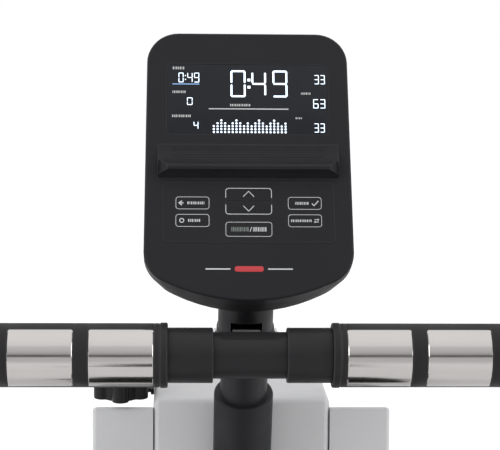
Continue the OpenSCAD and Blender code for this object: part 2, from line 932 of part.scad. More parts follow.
// Two wheels and the sleeve between them, on one axle
module roller_pair(y) {
    z = rail_z + rail_h / 2 + roller_big_r + 0.2;
    difference() {
        union() {
            x_cyl(-27, -9, y, z, roller_big_r);
            x_cyl(9, 27, y, z, roller_big_r);
            x_cyl(-10, 10, y, z, 8);
        }
        x_cyl(-50, 50, y, z, 5 + fit);
    }
}

module front_rollers() {
    color([0.85, 0.85, 0.83]) roller_pair(seat_y + axle_span);
}

module rear_rollers() {
    color([0.85, 0.85, 0.83]) roller_pair(seat_y - axle_span);
}

module seat_base() {
    z = rail_z + rail_h / 2 + 42;
    color([0.1, 0.1, 0.1]) translate([0, seat_y, z]) linear_extrude(height = 10)
        round_rect(-120, -95, 120, 95, 25);
}

module seat_pad() {
    z = rail_z + rail_h / 2 + 52;
    hw = seat_w / 2;
    hd = seat_d / 2;
    color([0.1, 0.1, 0.11]) translate([0, seat_y, z]) hull() {
        linear_extrude(height = 4) round_rect(-hw + 10, -hd + 10, hw - 10, hd - 10, 50, $fn = 32);
        translate([0, 0, 14]) linear_extrude(height = 26)
            round_rect(-hw, -hd, hw, hd, 60, $fn = 32);
        translate([0, 0, 44]) linear_extrude(height = 6)
            round_rect(-hw + 14, -hd + 14, hw - 14, hd - 14, 50, $fn = 32);
    }
}

// ---------- footrests ----------

module footrest_axle() {
    color([0.6, 0.6, 0.62]) {
        x_cyl(-172, 172, axle_y, axle_z, axle_r);
        x_cyl(-176, -172, axle_y, axle_z, 12);
        x_cyl(172, 176, axle_y, axle_z, 12);
    }
}

// The footplate's own frame: x across, y from heel to toe, z out of the foot's face
module at_footplate() {
    translate([0, axle_y, axle_z]) rotate([plate_lean, 0, 0])
        translate([0, 0, plate_off]) children();
}

// Footplate on the +X side
module footplate() {
    difference() {
        union() {
            at_footplate() translate([foot_x, -120, 0]) linear_extrude(height = 12)
                round_rect(0, 0, foot_w, 290, 30);
            // heel stop
            at_footplate() translate([foot_x + 12, -120, 10]) cube([foot_w - 24, 10, 38]);
            // lugs on the axle
            for (x = [foot_x + 14, foot_x + 84])
                axle_lug(x, 12);
        }
        x_cyl(0, 250, axle_y, axle_z, axle_r + fit);
        // windows that the foot strap passes through
        for (x = [foot_x + 5, foot_x + foot_w - 11])
            at_footplate() translate([x, 42, -5]) cube([6, 50, 30]);
    }
}

// A lug from the axle up to the footplate, w wide
module axle_lug(x, w) {
    x_cyl(x, x + w, axle_y, axle_z, 15);
    at_footplate() translate([x, -10, 10 - plate_off]) cube([w, 20, plate_off - 6]);
}

module left_footplate() {
    color([0.13, 0.13, 0.14]) mirror([1, 0, 0]) footplate();
}

module right_footplate() {
    color([0.13, 0.13, 0.14]) footplate();
}

// Strap over the foot: an arch of webbing between the footplate's windows
module foot_strap() {
    at_footplate() translate([foot_x + foot_w / 2, 90, 12]) rotate([90, 0, 0])
        linear_extrude(height = 46) polygon(concat(
            [[-50, -20]], arc([0, 22], 50, 180, 0, 16), [[50, -20]],
            [[47, -20]], arc([0, 22], 47, 0, 180, 16), [[-47, -20]]
        ));
}

module left_foot_strap() {
    color([0.08, 0.08, 0.08]) mirror([1, 0, 0]) foot_strap();
}

module right_foot_strap() {
    color([0.08, 0.08, 0.08]) foot_strap();
}

// ---------- transport wheels ----------

module transport_wheel(side) {
    x0 = side > 0 ? 136 : -165;
    difference() {
        x_cyl(x0, x0 + 29, caster[0], caster[1], caster_r);
        x_cyl(-200, 200, caster[0], caster[1], 5 + fit);
    }
}

module left_wheel() {
    color([0.1, 0.1, 0.1]) transport_wheel(-1);
}

module right_wheel() {
    color([0.1, 0.1, 0.1]) transport_wheel(1);
}

main_frame();
front_stabilizer();
frame_feet();
mast_tube();
mast_boot();
neck_sleeve();
handle_cradle();
center_shroud();
left_shroud();
right_shroud();
console_front();
console_back();
console_lens();
lcd_module();
console_board();
membrane_panel();
fasteners();
drive_shaft();
drive_belt();
servo_motor();
hinge_pin();
footrest_axle();
knob_bracket();
power_inlet();
guide_roller();
strap_spool();
drive_pulley();
flywheel();
flywheel_shaft();
brake_arm();
brake_magnets();
key_recovery();
key_reset();
key_up();
key_down();
key_start_stop();
key_enter();
key_display();
handle_tube();
handle_hub();
handle_sleeves();
handle_grips();
contact_plates();
pull_strap();
seat_pad();
seat_base();
seat_carriage();
front_rollers();
rear_rollers();
rail_beam();
rear_leg();
rear_feet();
rail_bumpers();
left_footplate();
right_footplate();
left_foot_strap();
right_foot_strap();
left_wheel();
right_wheel();
side_knob();
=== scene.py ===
"""Looks of the rowing machine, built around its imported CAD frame.

Metres, +Z up, the user sits at -Y. Shapes are described in millimetres and scaled by MM.
"""

import json
from math import copysign, cos, exp, pi, radians, sin, sqrt, tan

import bmesh
import bpy
from mathutils import Matrix, Vector
from mathutils.bvhtree import BVHTree


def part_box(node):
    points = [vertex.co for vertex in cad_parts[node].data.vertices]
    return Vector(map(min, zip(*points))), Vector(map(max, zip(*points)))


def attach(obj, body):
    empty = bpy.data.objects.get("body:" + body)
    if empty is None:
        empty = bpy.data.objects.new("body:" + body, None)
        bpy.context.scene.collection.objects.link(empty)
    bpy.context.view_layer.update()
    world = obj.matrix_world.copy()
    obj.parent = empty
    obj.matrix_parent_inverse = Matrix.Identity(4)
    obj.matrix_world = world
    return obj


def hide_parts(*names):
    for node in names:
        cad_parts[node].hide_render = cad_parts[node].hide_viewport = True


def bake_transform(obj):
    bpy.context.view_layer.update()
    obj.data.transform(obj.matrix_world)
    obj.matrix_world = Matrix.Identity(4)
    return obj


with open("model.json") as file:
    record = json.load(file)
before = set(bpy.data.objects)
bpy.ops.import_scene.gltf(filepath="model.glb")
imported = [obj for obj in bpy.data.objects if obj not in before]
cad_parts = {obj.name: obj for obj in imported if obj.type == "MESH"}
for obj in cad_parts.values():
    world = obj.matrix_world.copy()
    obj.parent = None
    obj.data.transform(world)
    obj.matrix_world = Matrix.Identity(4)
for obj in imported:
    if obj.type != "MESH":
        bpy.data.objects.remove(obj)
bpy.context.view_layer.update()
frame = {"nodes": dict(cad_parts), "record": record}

MM = 0.001
NODES = frame["nodes"]
BODY_OF = {n: body for body, nodes in frame["record"]["behaviour"]["bodies"].items() for n in nodes}
SLOT_OF = {part["node"]: part["material_slot"] for part in frame["record"]["subparts"]}


# ---------- places, from the frame ----------

def box_mm(node):
    """Lowest and highest corner of a CAD node, in millimetres."""
    low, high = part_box(node)
    return low / MM, high / MM


def side_plane(side, x, y=0, z=0):
    """Frame on a side face: X runs along the machine from y, Y up from z, Z out of the face."""
    return Matrix(((0, 0, side, side * x), (1, 0, 0, y), (0, 1, 0, z), (0, 0, 0, 1)))


Z_TO_X = Matrix.Rotation(pi / 2, 4, "Y")
UP = Vector((0, 0, 1))


def moved(*by):
    return Matrix.Translation(by)


def place(y, z, tilt_deg, shift=(0, 0, 0)):
    """Frame of a tilted part: X across, turned about X by tilt_deg, with its origin at y, z."""
    turn = Matrix.Rotation(radians(tilt_deg), 4, "X")
    return moved(0, y, z) @ turn @ moved(*shift)


CONSOLE = place(320.6, 652.3, 60)           # x across the face, y up the face, z out of it
CONSOLE_BACK = -30.0                        # the casing's back, along the console's z
MAST = place(405, 618, 21.4)                # z up the mast
HANDLE_LOW, HANDLE_HIGH = box_mm("handle_tube")
HANDLE_Y = (HANDLE_LOW.y + HANDLE_HIGH.y) / 2
HANDLE_Z = (HANDLE_LOW.z + HANDLE_HIGH.z) / 2
HANDLE = moved(0, HANDLE_Y, HANDLE_Z) @ Z_TO_X
GRIP_R = 26.0
HUMP_HW = 81.5                              # half widths of the shroud's hump and shoulders
SHOULDER_HW = 137.5
RAIL_HW = 30.0
CARRIAGE_HW = 44.0
HINGE_PIN = (50.0, 140, 300)                # outer end of the rail's hinge pin
FOOT_AXLE = (176.0, 240, 222)               # outer end of the footrests' axle
FOOTPLATE = place(*FOOT_AXLE[1:], 51.5, (0, 0, 22))  # y from heel to toe, z out of the foot's face
FOOT_X, STRAP_Y, INSTEP_Z = 103, 67, 34     # middles of foot and strap on the plate, height of the instep
FRONT_Y, MIDDLE_Y, REAR_Y = 903, 185, -957  # the three stabilizers
TUBE_Z = 40                                 # height of the front and rear stabilizers' axes
LENS = (-68.5, 146.4, 68.5, 210.7)
# Keys: middle x, middle y, width, height on the console's face
KEYS = {
    "key_recovery": (-46.8, 84.3, 28.4, 11.4),
    "key_reset": (-46.8, 68.9, 28.4, 11.4),
    "key_up": (0, 92.2, 39, 11.2),
    "key_down": (0, 79.8, 39, 11.2),
    "key_start_stop": (0, 61.3, 39, 13.2),
    "key_enter": (46.8, 84.3, 28.4, 11.4),
    "key_display": (46.8, 68.9, 28.4, 11.4),
}
KEY_TOP = 0.7


# ---------- materials ----------

def new_material(name):
    material = bpy.data.materials.new(name)
    material.use_nodes = True
    tree = material.node_tree
    return material, tree, tree.nodes["Principled BSDF"]


def feed(tree, socket, value):
    """Links the socket to value if that is a socket too, or else sets it."""
    if isinstance(value, bpy.types.NodeSocket):
        tree.links.new(value, socket)
    else:
        socket.default_value = value


def add(tree, kind, *inputs, **values):
    """A node of that kind. Values named like one of its sockets feed the socket, others set the node."""
    node = tree.nodes.new("ShaderNode" + kind)
    for key, value in values.items():
        socket = node.inputs.get(key.replace("_", " "))
        if socket is None:
            setattr(node, key, value)
        else:
            feed(tree, socket, value)
    for socket, value in zip(node.inputs, inputs):
        feed(tree, socket, value)
    return node


def object_coords(tree, scale=(1, 1, 1)):
    coords = add(tree, "TexCoord").outputs["Object"]
    return add(tree, "Mapping", Scale=scale, Vector=coords).outputs["Vector"]


def noise_of(tree, scale, detail=3.0, stretch=(1, 1, 1)):
    return add(tree, "TexNoise", Scale=scale, Detail=detail, Roughness=0.55,
               Vector=object_coords(tree, stretch)).outputs["Fac"]


def ranged(tree, value, low, high, from_low=0.3, from_high=0.7):
    return add(tree, "MapRange", Value=value, From_Min=from_low, From_Max=from_high,
               To_Min=low, To_Max=high).outputs["Result"]


def mixed(tree, share, a, b):
    """Colour a to colour b by share. Each may be a colour or a socket."""
    node = add(tree, "Mix", share, data_type="RGBA")
    for socket, value in ((node.inputs[6], a), (node.inputs[7], b)):
        feed(tree, socket, value if isinstance(value, bpy.types.NodeSocket) else (*value, 1))
    return node.outputs[2]


def scaled(colour, share):
    return tuple(min(1.0, c * share) for c in colour)


def dotted(tree, a, b):
    return add(tree, "VectorMath", a, b, operation="DOT_PRODUCT").outputs["Value"]


def worn_edges(tree, radius=0.0012):
    """1 on convex and concave edges, 0 on flat stretches."""
    soft = add(tree, "Bevel", samples=4, Radius=radius).outputs["Normal"]
    true = add(tree, "NewGeometry").outputs["Normal"]
    return ranged(tree, dotted(tree, soft, true), 1.0, 0.0, 0.93, 0.995)


def set_inputs(shader, **values):
    for key, value in values.items():
        shader.inputs[key.replace("_", " ")].default_value = value


def dress_shader(tree, shader, colour, rough, height, strength, distance):
    """Feeds a shader's colour and roughness, and bumps its surface by height."""
    bump = add(tree, "Bump", Strength=strength, Distance=distance, Height=height)
    for name, value in (("Base Color", colour), ("Roughness", rough), ("Normal", bump.outputs["Normal"])):
        feed(tree, shader.inputs[name], value)


def finish_of(name, colour, rough, metal=0.0, spread=0.12, grain=1400.0, bump=0.25, depth=0.0002,
              stretch=(1, 1, 1), wear=None, rough_spread=0.07, **constants):
    """A finish with patchy colour, uneven gloss, fine grain and, where wear is a colour, worn edges."""
    material, tree, shader = new_material(name)
    patches = ranged(tree, noise_of(tree, 9.0), 0, 1)
    base = mixed(tree, patches, scaled(colour, 1 - spread), scaled(colour, 1 + spread))
    grains = noise_of(tree, grain, 2.0, stretch)
    speckled = mixed(tree, ranged(tree, grains, 0, 0.35), base, scaled(colour, 0.7))
    if wear:
        speckled = mixed(tree, worn_edges(tree), speckled, wear)
    gloss = ranged(tree, noise_of(tree, 38.0, 4.0, stretch), rough - rough_spread, rough + rough_spread)
    dress_shader(tree, shader, speckled, gloss, grains, bump, depth)
    set_inputs(shader, Metallic=metal, **constants)
    return material


def leather_of(name, colour):
    """Fine-grained vinyl: cells for the grain, with creases painted darker as painted shade, and patchy
    gloss.
    """
    material, tree, shader = new_material(name)
    cells = add(tree, "TexVoronoi", feature="DISTANCE_TO_EDGE", Scale=620.0, Vector=object_coords(tree))
    grain = ranged(tree, cells.outputs["Distance"], 0, 1, 0.0, 0.25)
    patches = ranged(tree, noise_of(tree, 14.0), 0, 1)
    base = mixed(tree, patches, scaled(colour, 0.85), scaled(colour, 1.25))
    # the creases take a darker colour: painted shade where the grain dips
    dress_shader(tree, shader, mixed(tree, grain, scaled(colour, 0.45), base),
                 ranged(tree, patches, 0.42, 0.56, 0, 1), grain, 0.35, 0.0003)
    return material


def webbing_of(name, colour):
    """Woven tape: crossing ribs of yarn, painted darker between the ribs as painted shade, with a little
    fuzz in the colour.
    """
    material, tree, shader = new_material(name)
    per_metre = 2 * pi / (1.5 * MM)
    waves = []
    for axis in ((1, 0, 0), (0, 0.72, 0.72)):
        along = dotted(tree, add(tree, "TexCoord").outputs["Object"], axis)
        phase = add(tree, "Math", along, per_metre, operation="MULTIPLY").outputs["Value"]
        waves.append(add(tree, "Math", phase, operation="SINE").outputs["Value"])
    cross = add(tree, "Math", *waves, operation="MULTIPLY").outputs["Value"]
    weave_and_shade = ranged(tree, cross, 0, 1, -0.6, 0.6)
    fuzz = ranged(tree, noise_of(tree, 900.0), 0, 1)
    base = mixed(tree, fuzz, scaled(colour, 0.8), scaled(colour, 1.3))
    # darker colour between the ribs: painted shade
    dress_shader(tree, shader, mixed(tree, weave_and_shade, scaled(colour, 0.5), base),
                 ranged(tree, fuzz, 0.72, 0.88, 0, 1), weave_and_shade, 0.5, 0.0004)
    set_inputs(shader, Sheen_Weight=0.25)
    return material


def glow_of(name, colour, strength):
    """A lit display segment, a little uneven across the face."""
    material, tree, shader = new_material(name)
    uneven = ranged(tree, noise_of(tree, 160.0), 0, 1)
    shade = mixed(tree, uneven, scaled(colour, 0.85), colour)
    feed(tree, shader.inputs["Emission Color"], shade)
    feed(tree, shader.inputs["Base Color"], shade)
    set_inputs(shader, Emission_Strength=strength, Roughness=0.4)
    return material


def make_materials():
    """One material for each of the record's slots, and some for printed and polished details."""
    made = {}

    def finish(name, *args, **kwargs):
        made[name] = finish_of(name, *args, **kwargs)

    dull = {"Specular_IOR_Level": 0.15}
    finish("black_metal", (0.016, 0.016, 0.018), 0.42, grain=900.0, bump=0.3, wear=(0.05, 0.05, 0.055),
           **dull)
    finish("black_plastic", (0.013, 0.013, 0.015), 0.48, wear=(0.045, 0.045, 0.048), **dull)
    finish("console_plastic", (0.009, 0.009, 0.0105), 0.5, spread=0.06, grain=2200.0, bump=0.18,
           wear=(0.026, 0.026, 0.029), **dull)
    finish("grey_plastic", (0.46, 0.46, 0.47), 0.42, spread=0.035, grain=1800.0, bump=0.16,
           wear=(0.62, 0.62, 0.63))
    finish("lens", (0.009, 0.010, 0.013), 0.12, grain=90.0, bump=0.015, rough_spread=0.04, **dull)
    finish("display", (0.02, 0.025, 0.04), 0.3, grain=3000.0)
    finish("board", (0.02, 0.12, 0.05), 0.4, grain=500.0, bump=0.4)
    finish("rubber", (0.02, 0.02, 0.021), 0.72, grain=1600.0, bump=0.4, wear=(0.05, 0.05, 0.05))
    finish("wheel_rubber", (0.022, 0.022, 0.022), 0.66, grain=1500.0, bump=0.4,
           wear=(0.055, 0.055, 0.055))
    finish("steel", (0.55, 0.55, 0.56), 0.3, metal=1.0, grain=700.0, stretch=(1, 9, 9), bump=0.12,
           wear=(0.7, 0.7, 0.72))
    finish("magnet", (0.42, 0.42, 0.44), 0.22, metal=1.0, grain=600.0)
    finish("cast_iron", (0.11, 0.11, 0.115), 0.55, metal=0.6, grain=480.0, bump=0.6, depth=0.0005,
           wear=(0.3, 0.3, 0.31))
    finish("chrome", (0.43, 0.415, 0.405), 0.13, metal=1.0, spread=0.03, grain=2600.0,
           stretch=(1, 12, 12), bump=0.03, rough_spread=0.03)
    finish("grip_foam", (0.013, 0.012, 0.013), 0.5, grain=1300.0, bump=0.35, wear=(0.04, 0.038, 0.04),
           **dull)
    finish("sleeve_plastic", (0.0125, 0.0125, 0.0135), 0.42, spread=0.05, wear=(0.042, 0.042, 0.044),
           **dull)
    finish("knob_plastic", (0.008, 0.008, 0.008), 0.38, wear=(0.025, 0.025, 0.025), **dull)
    finish("pulley_plastic", (0.045, 0.045, 0.045), 0.5)
    finish("aluminium", (0.62, 0.63, 0.65), 0.36, metal=1.0, grain=900.0, stretch=(9, 0.6, 9), bump=0.15,
           wear=(0.8, 0.8, 0.82))
    finish("roller", (0.68, 0.67, 0.63), 0.4, grain=1200.0)
    made["seat_vinyl"] = leather_of("seat_vinyl", (0.03, 0.03, 0.032))
    made["webbing"] = webbing_of("webbing", (0.028, 0.028, 0.03))
    finish("print", (0.4, 0.41, 0.41), 0.6, spread=0.08, grain=2600.0)
    finish("print_dim", (0.12, 0.14, 0.13), 0.6, spread=0.08, grain=2600.0)
    finish("accent", (0.36, 0.015, 0.02), 0.4, spread=0.06, grain=2000.0)
    finish("polished", (0.7, 0.71, 0.73), 0.24, metal=1.0, grain=900.0, stretch=(9, 0.4, 9), bump=0.06,
           spread=0.06)
    finish("thread", (0.2, 0.2, 0.21), 0.7, grain=2600.0, bump=0.5)
    made["glow"] = glow_of("glow", (0.74, 0.86, 1.0), 0.85)
    made["glow_blue"] = glow_of("glow_blue", (0.2, 0.35, 0.62), 0.7)
    return made


MATERIALS = make_materials()
for node_name, node_object in NODES.items():
    node_object.data.materials.clear()
    node_object.data.materials.append(MATERIALS[SLOT_OF[node_name]])


# ---------- mesh building ----------

def new_object(name, data):
    made = bpy.data.objects.new(name, data)
    bpy.context.scene.collection.objects.link(made)
    return made


def join_rings(bm, loops, where=Matrix(), wrap=False):
    """Faces between loops of equal length, in the frame where, with caps unless wrap joins the ends."""
    rings = [[bm.verts.new(where @ p * MM) for p in loop] for loop in loops]
    count = len(rings[0])
    pairs = list(zip(rings, rings[1:]))
    if wrap:
        pairs.append((rings[-1], rings[0]))
    for a, b in pairs:
        for i in range(count):
            j = (i + 1) % count
            bm.faces.new((a[i], a[j], b[j], b[i]))
    if not wrap:
        bm.faces.new(list(reversed(rings[0])))
        bm.faces.new(rings[-1])


def rounded(points, radius, steps=4, closed=True):
    """The same outline with its corners rounded. A point may carry its own radius as a third number."""
    out = []
    count = len(points)
    for i, point in enumerate(points):
        here = Vector(point[:2])
        r = point[2] if len(point) > 2 else radius
        if r <= 0 or (not closed and i in (0, count - 1)):
            out.append(here)
            continue
        before = Vector(points[i - 1][:2]) - here
        after = Vector(points[(i + 1) % count][:2]) - here
        half = before.angle(after) / 2
        cut = min(r / tan(half), before.length * 0.49, after.length * 0.49)
        start = here + before.normalized() * cut
        end = here + after.normalized() * cut
        for k in range(steps + 1):
            t = k / steps
            out.append(start * (1 - t) ** 2 + here * 2 * t * (1 - t) + end * t ** 2)
    return out


def left_of(a, b):
    """Unit normal on the left of the way from a to b, or zero where they meet."""
    return Vector((a.y - b.y, b.x - a.x)).normalized()


def inset(outline, distance):
    """The outline moved inwards. It runs anticlockwise."""
    out = []
    for i, p in enumerate(outline):
        n1 = left_of(outline[i - 1], p)
        mean = (n1 + left_of(p, outline[(i + 1) % len(outline)])).normalized()
        out.append(p + mean * (distance / max(0.35, mean.dot(n1))))
    return out


def slab(bm, outline, low, high, edge, where=Matrix(), edge_low=None):
    """A plate between two heights with rounded rims, in the frame where."""
    edge_low = edge if edge_low is None else edge_low
    quarter = [pi / 6 * k for k in range(4)]
    loops = [(edge_low * (1 - sin(a)), low + edge_low * (1 - cos(a)))
             for a in (quarter if edge_low > 0 else quarter[-1:])]
    loops += [(edge * (1 - cos(a)), high - edge * (1 - sin(a)))
              for a in (quarter if edge > 0 else quarter[:1])]
    join_rings(bm, [[Vector((*p, z)) for p in inset(outline, d)] for d, z in loops], where)


def turns(count):
    """The angles of so many equal steps round a circle."""
    return [2 * pi * i / count for i in range(count)]


def polar(r, a, *height):
    return Vector((r * cos(a), r * sin(a), *height))


def lathe(bm, profile, where=Matrix(), segments=96, wrap=True):
    """Turns (radius, height) points about the Z axis of where. Wrap closes a ring with a bore."""
    join_rings(bm, [[polar(r, a, h) for a in turns(segments)] for r, h in profile], where, wrap)


def sweep(bm, path, section, closed=False, up=Vector((1, 0, 0))):
    """A section carried along a path of points, with up as its first direction."""
    loops = []
    count = len(path)
    for i, point in enumerate(path):
        after = path[(i + 1) % count] if closed or i < count - 1 else point
        before = path[i - 1] if closed or i > 0 else point
        along = (after - before).normalized()
        side = (up - along * up.dot(along)).normalized()
        out = along.cross(side)
        loops.append([point + side * s.x + out * s.y for s in section])
    join_rings(bm, loops, wrap=closed)


def circle(radius, segments=12):
    return [polar(radius, a) for a in turns(segments)]


def rectangle(x0, y0, x1, y1, radius=0.0, steps=5):
    return rounded([(x0, y0), (x1, y0), (x1, y1), (x0, y1)], radius, steps)


def arc(cx, cy, r, a0, a1, steps=16):
    return [Vector((cx, cy)) + polar(r, radians(a0 + (a1 - a0) * i / steps)) for i in range(steps + 1)]


def as_piece(bm, name, body, slot, replaces=(), material=None, smooth_deg=32):
    """Turns a bmesh into a piece that rides on a body, if named, and takes its finish from a slot."""
    bmesh.ops.recalc_face_normals(bm, faces=bm.faces)
    mesh = bpy.data.meshes.new(name)
    bm.to_mesh(mesh)
    bm.free()
    mesh.shade_smooth()
    mesh.set_sharp_from_angle(angle=radians(smooth_deg))
    mesh.materials.append(MATERIALS[material or slot])
    piece = new_object(name, mesh)
    if body:
        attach(piece, body)
    if replaces:
        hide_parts(*replaces)
    return piece


def clean_copy(node):
    """A node's mesh as one welded bmesh with its flat stretches merged."""
    bm = bmesh.new()
    bm.from_mesh(NODES[node].data)
    bmesh.ops.remove_doubles(bm, verts=bm.verts, dist=2e-6)
    bmesh.ops.dissolve_limit(bm, angle_limit=radians(1.0), verts=bm.verts, edges=bm.edges)
    return bm


def bevel_edges(bm, edges, width, segments=2):
    bmesh.ops.bevel(bm, geom=edges, offset=width * MM, segments=segments, profile=0.5,
                    affect="EDGES", clamp_overlap=True)


def sharp_edges(bm, min_deg=30):
    return [e for e in bm.edges
            if len(e.link_faces) == 2 and e.calc_face_angle(0) > radians(min_deg)]


def dressed(node, width, segments=2, wide=None, wide_where=None, smooth_deg=32):
    """A copy of a CAD node with softened edges: wide ones where wide_where says so."""
    bm = clean_copy(node)
    if wide:
        bevel_edges(bm, [e for e in sharp_edges(bm) if wide_where(e)], wide, 4)
    if width:
        bevel_edges(bm, sharp_edges(bm, 40), width, segments)
    piece = as_piece(bm, node + "_body", BODY_OF[node], SLOT_OF[node], (node,), smooth_deg=smooth_deg)
    even = piece.modifiers.new("even_normals", "WEIGHTED_NORMAL")
    even.weight = 100
    even.keep_sharp = True
    return piece


# ---------- console ----------

def on_outer_rim(edge):
    """True for the edges where the console's face meets its side walls."""
    for v in edge.verts:
        p = CONSOLE.inverted() @ (v.co / MM)
        inside = abs(p.x) < 78 and 40 < p.y < 222  # round the windows, the ledge and the keys
        if abs(p.z) > 0.05 or inside:
            return False
    return True


def stroke(bm, points, width, low, high, where=CONSOLE, closed=False):
    """A printed line of that width along flat points."""
    points = [Vector(p) for p in points]
    last = len(points) - 1
    left, right = [], []
    for i, p in enumerate(points):
        n1 = left_of(points[i - 1] if closed or i > 0 else p, p)
        n2 = left_of(p, points[(i + 1) % (last + 1)] if closed or i < last else p)
        mean = (n1 + n2).normalized()
        reach = width / 2 / max(0.4, mean.dot(n1), mean.dot(n2))
        left.append(p + mean * reach)
        right.append(p - mean * reach)
    join_rings(bm, [[Vector((*q, z)) for q, z in ((l, low), (r, low), (r, high), (l, high))]
                    for l, r in zip(left, right)], where, closed)


# Seven-segment digits: which of the segments a to g are lit
SEGMENTS = {"0": "abcdef", "3": "abcdg", "4": "bcfg", "6": "acdefg", "9": "abcdfg"}
DISPLAY = (-0.3, -0.18)                     # heights of the lit marks, behind the console's face


def digit(bm, char, x0, y0, x1, y1, thick):
    mid = (y0 + y1) / 2
    t = thick / 2
    ends = {
        "a": ((x0, y1 - t), (x1, y1 - t)), "d": ((x0, y0 + t), (x1, y0 + t)),
        "g": ((x0, mid), (x1, mid)), "f": ((x0 + t, mid), (x0 + t, y1)),
        "e": ((x0 + t, y0), (x0 + t, mid)), "b": ((x1 - t, mid), (x1 - t, y1)),
        "c": ((x1 - t, y0), (x1 - t, mid)),
    }
    short = thick * 0.62
    for name in SEGMENTS[char]:
        a, b = (Vector(p) for p in ends[name])
        along = (b - a).normalized()
        side = Vector((-along.y, along.x)) * t
        a, b = a + along * short, b - along * short
        tip = along * t * 0.8
        outline = [a - tip * 0.6, a - side * 0.95 + tip * 0.2, b - side * 0.95 - tip * 0.2,
                   b + tip * 0.6, b + side * 0.95 - tip * 0.2, a + side * 0.95 + tip * 0.2]
        slab(bm, outline, *DISPLAY, 0, CONSOLE)


def digits(bm, text, x0, y0, x1, y1, thick):
    """A row of digits that fills the box."""
    space = 0.28
    width = (x1 - x0) / (len(text) + (len(text) - 1) * space)
    for i, char in enumerate(text):
        left = x0 + i * width * (1 + space)
        digit(bm, char, left, y0, left + width, y1, thick)


def dashes(bm, x0, y0, x1, y1, seed, heights=DISPLAY):
    """Short bars that stand for a word, with no letters in them."""
    x = x0
    while x < x1 - 0.6:
        width = min((0.7, 1.0, 0.5, 0.9)[seed % 4], x1 - x)
        slab(bm, rectangle(x, y0, x + width, y1), *heights, 0, CONSOLE)
        x += width + 0.7
        seed += 1


def dot(bm, x, y, r):
    slab(bm, [Vector((x, y)) + p for p in circle(r)], *DISPLAY, 0, CONSOLE)


def make_display():
    """What the display shows: numbers, bars, underlines and plain dashes."""
    bm = bmesh.new()
    small, large = 0.68, 1.7
    for shown in (("0", -58.9, 193.7, -54.6, 202.7, small), ("49", -51.4, 193.7, -41.2, 202.7, small),
                  ("0", -51.6, 172.9, -46.9, 179.8, 0.66), ("4", -46.0, 150.8, -41.9, 157.7, 0.66),
                  ("0", -14.6, 180.3, -1.6, 205.2, large), ("4", 3.3, 181.5, 15.9, 203.8, large),
                  ("9", 21.3, 180.3, 34.1, 205.2, large), ("33", 57.1, 192.7, 66.2, 201.2, small),
                  ("63", 55.8, 170.4, 66.1, 178.8, small), ("33", 56.2, 148.3, 65.2, 156.6, small)):
        digits(bm, *shown)
    for y in (196.4, 200.0):
        dot(bm, -53.0, y, 0.5)
    for y in (189.6, 196.2):
        slab(bm, rectangle(0.0, y - 1.2, 2.4, y + 1.2), *DISPLAY, 0, CONSOLE)
    for i, height in enumerate((3, 4, 5, 4, 3, 4, 5, 4, 3, 4, 3, 4, 5, 4, 3, 4, 5, 4, 3, 4)):
        for k in range(height):
            dot(bm, -28.9 + i * 3.2, 148.3 + k * 2.65, 0.92)
    as_piece(bm, "display_segments", "frame", "display", material="glow")
    bm = bmesh.new()
    for word in ((-63.8, 205.8, -53.4, 208.2, 1), (-64.0, 183.8, -52.4, 186.0, 2),
                 (-64.2, 161.7, -47.8, 163.9, 3), (45.6, 183.0, 54.5, 184.9, 2),
                 (-15.0, 171.9, 3.0, 174.0, 0), (40.6, 160.5, 46.8, 162.0, 1)):
        dashes(bm, *word)
    stroke(bm, [(-33.1, 169.5), (34.6, 169.5)], 0.9, *DISPLAY)
    as_piece(bm, "display_rules", "frame", "display", material="print")
    bm = bmesh.new()
    stroke(bm, [(-64.1, 192.2), (-41.2, 192.2)], 0.6, *DISPLAY)
    as_piece(bm, "display_underline", "frame", "display", material="glow_blue")


def key_marks(bm, dim, name):
    """The printed outline and symbol of one key."""
    x, y, w, h = KEYS[name]
    heights = (KEY_TOP - 0.02, KEY_TOP + 0.07)

    def line(points, width=0.42, closed=False):
        stroke(bm, [(x + p[0], y + p[1]) for p in points], width, *heights, closed=closed)

    def word(target, x0, x1, half, seed):
        dashes(target, x + x0, y - half, x + x1, y + half, seed, heights)

    half_w, half_h = w / 2 - 0.4, h / 2 - 0.4
    if name in ("key_up", "key_down"):
        flip = 1 if name == "key_up" else -1
        foot, top = -flip * (half_h - 2.0), flip * half_h
        corners = [(-half_w, foot), (-half_w, top, 3.0), (half_w, top, 3.0), (half_w, foot)]
        line(rounded(corners, 3.0, 6, closed=False), 0.57)
        line([(-4.5, -flip * 2.2), (0, flip * 2.6), (4.5, -flip * 2.2)], 0.6)
        return
    line(rectangle(-half_w, -half_h, half_w, half_h, 2.6), closed=True)
    if name == "key_start_stop":
        word(dim, -14.5, 0.2, 1.9, 0)
        line([(0.9, -2.1), (2.3, 2.1)], 0.6)
        word(bm, 3.4, 15.0, 1.9, 2)
    elif name == "key_recovery":
        line([(-8.8, 1.9), (-11.2, 0), (-8.8, -1.9)], 0.9)
        line([(-10.6, 0), (-7.4, 0)], 0.8)
        word(bm, -4.2, 10.6, 1.2, 1)
    elif name == "key_reset":
        line([(p.x - 8.9, p.y) for p in circle(1.7, 20)], 0.75, closed=True)
        word(bm, -3.6, 7.2, 1.2, 3)
    elif name == "key_enter":
        word(bm, -8.0, 3.4, 1.2, 2)
        line([(6.0, -0.2), (7.8, -2.0), (11.4, 2.2)], 0.8)
    else:
        word(bm, -11.6, 6.2, 1.1, 0)
        for side in (-1, 1):
            tip = 9.6 + side * 1.9
            line([(9.6 - side * 1.9, side), (tip, side)], 0.6)
            line([(tip - side * 1.1, side + 0.9), (tip, side), (tip - side * 1.1, side - 0.9)], 0.5)


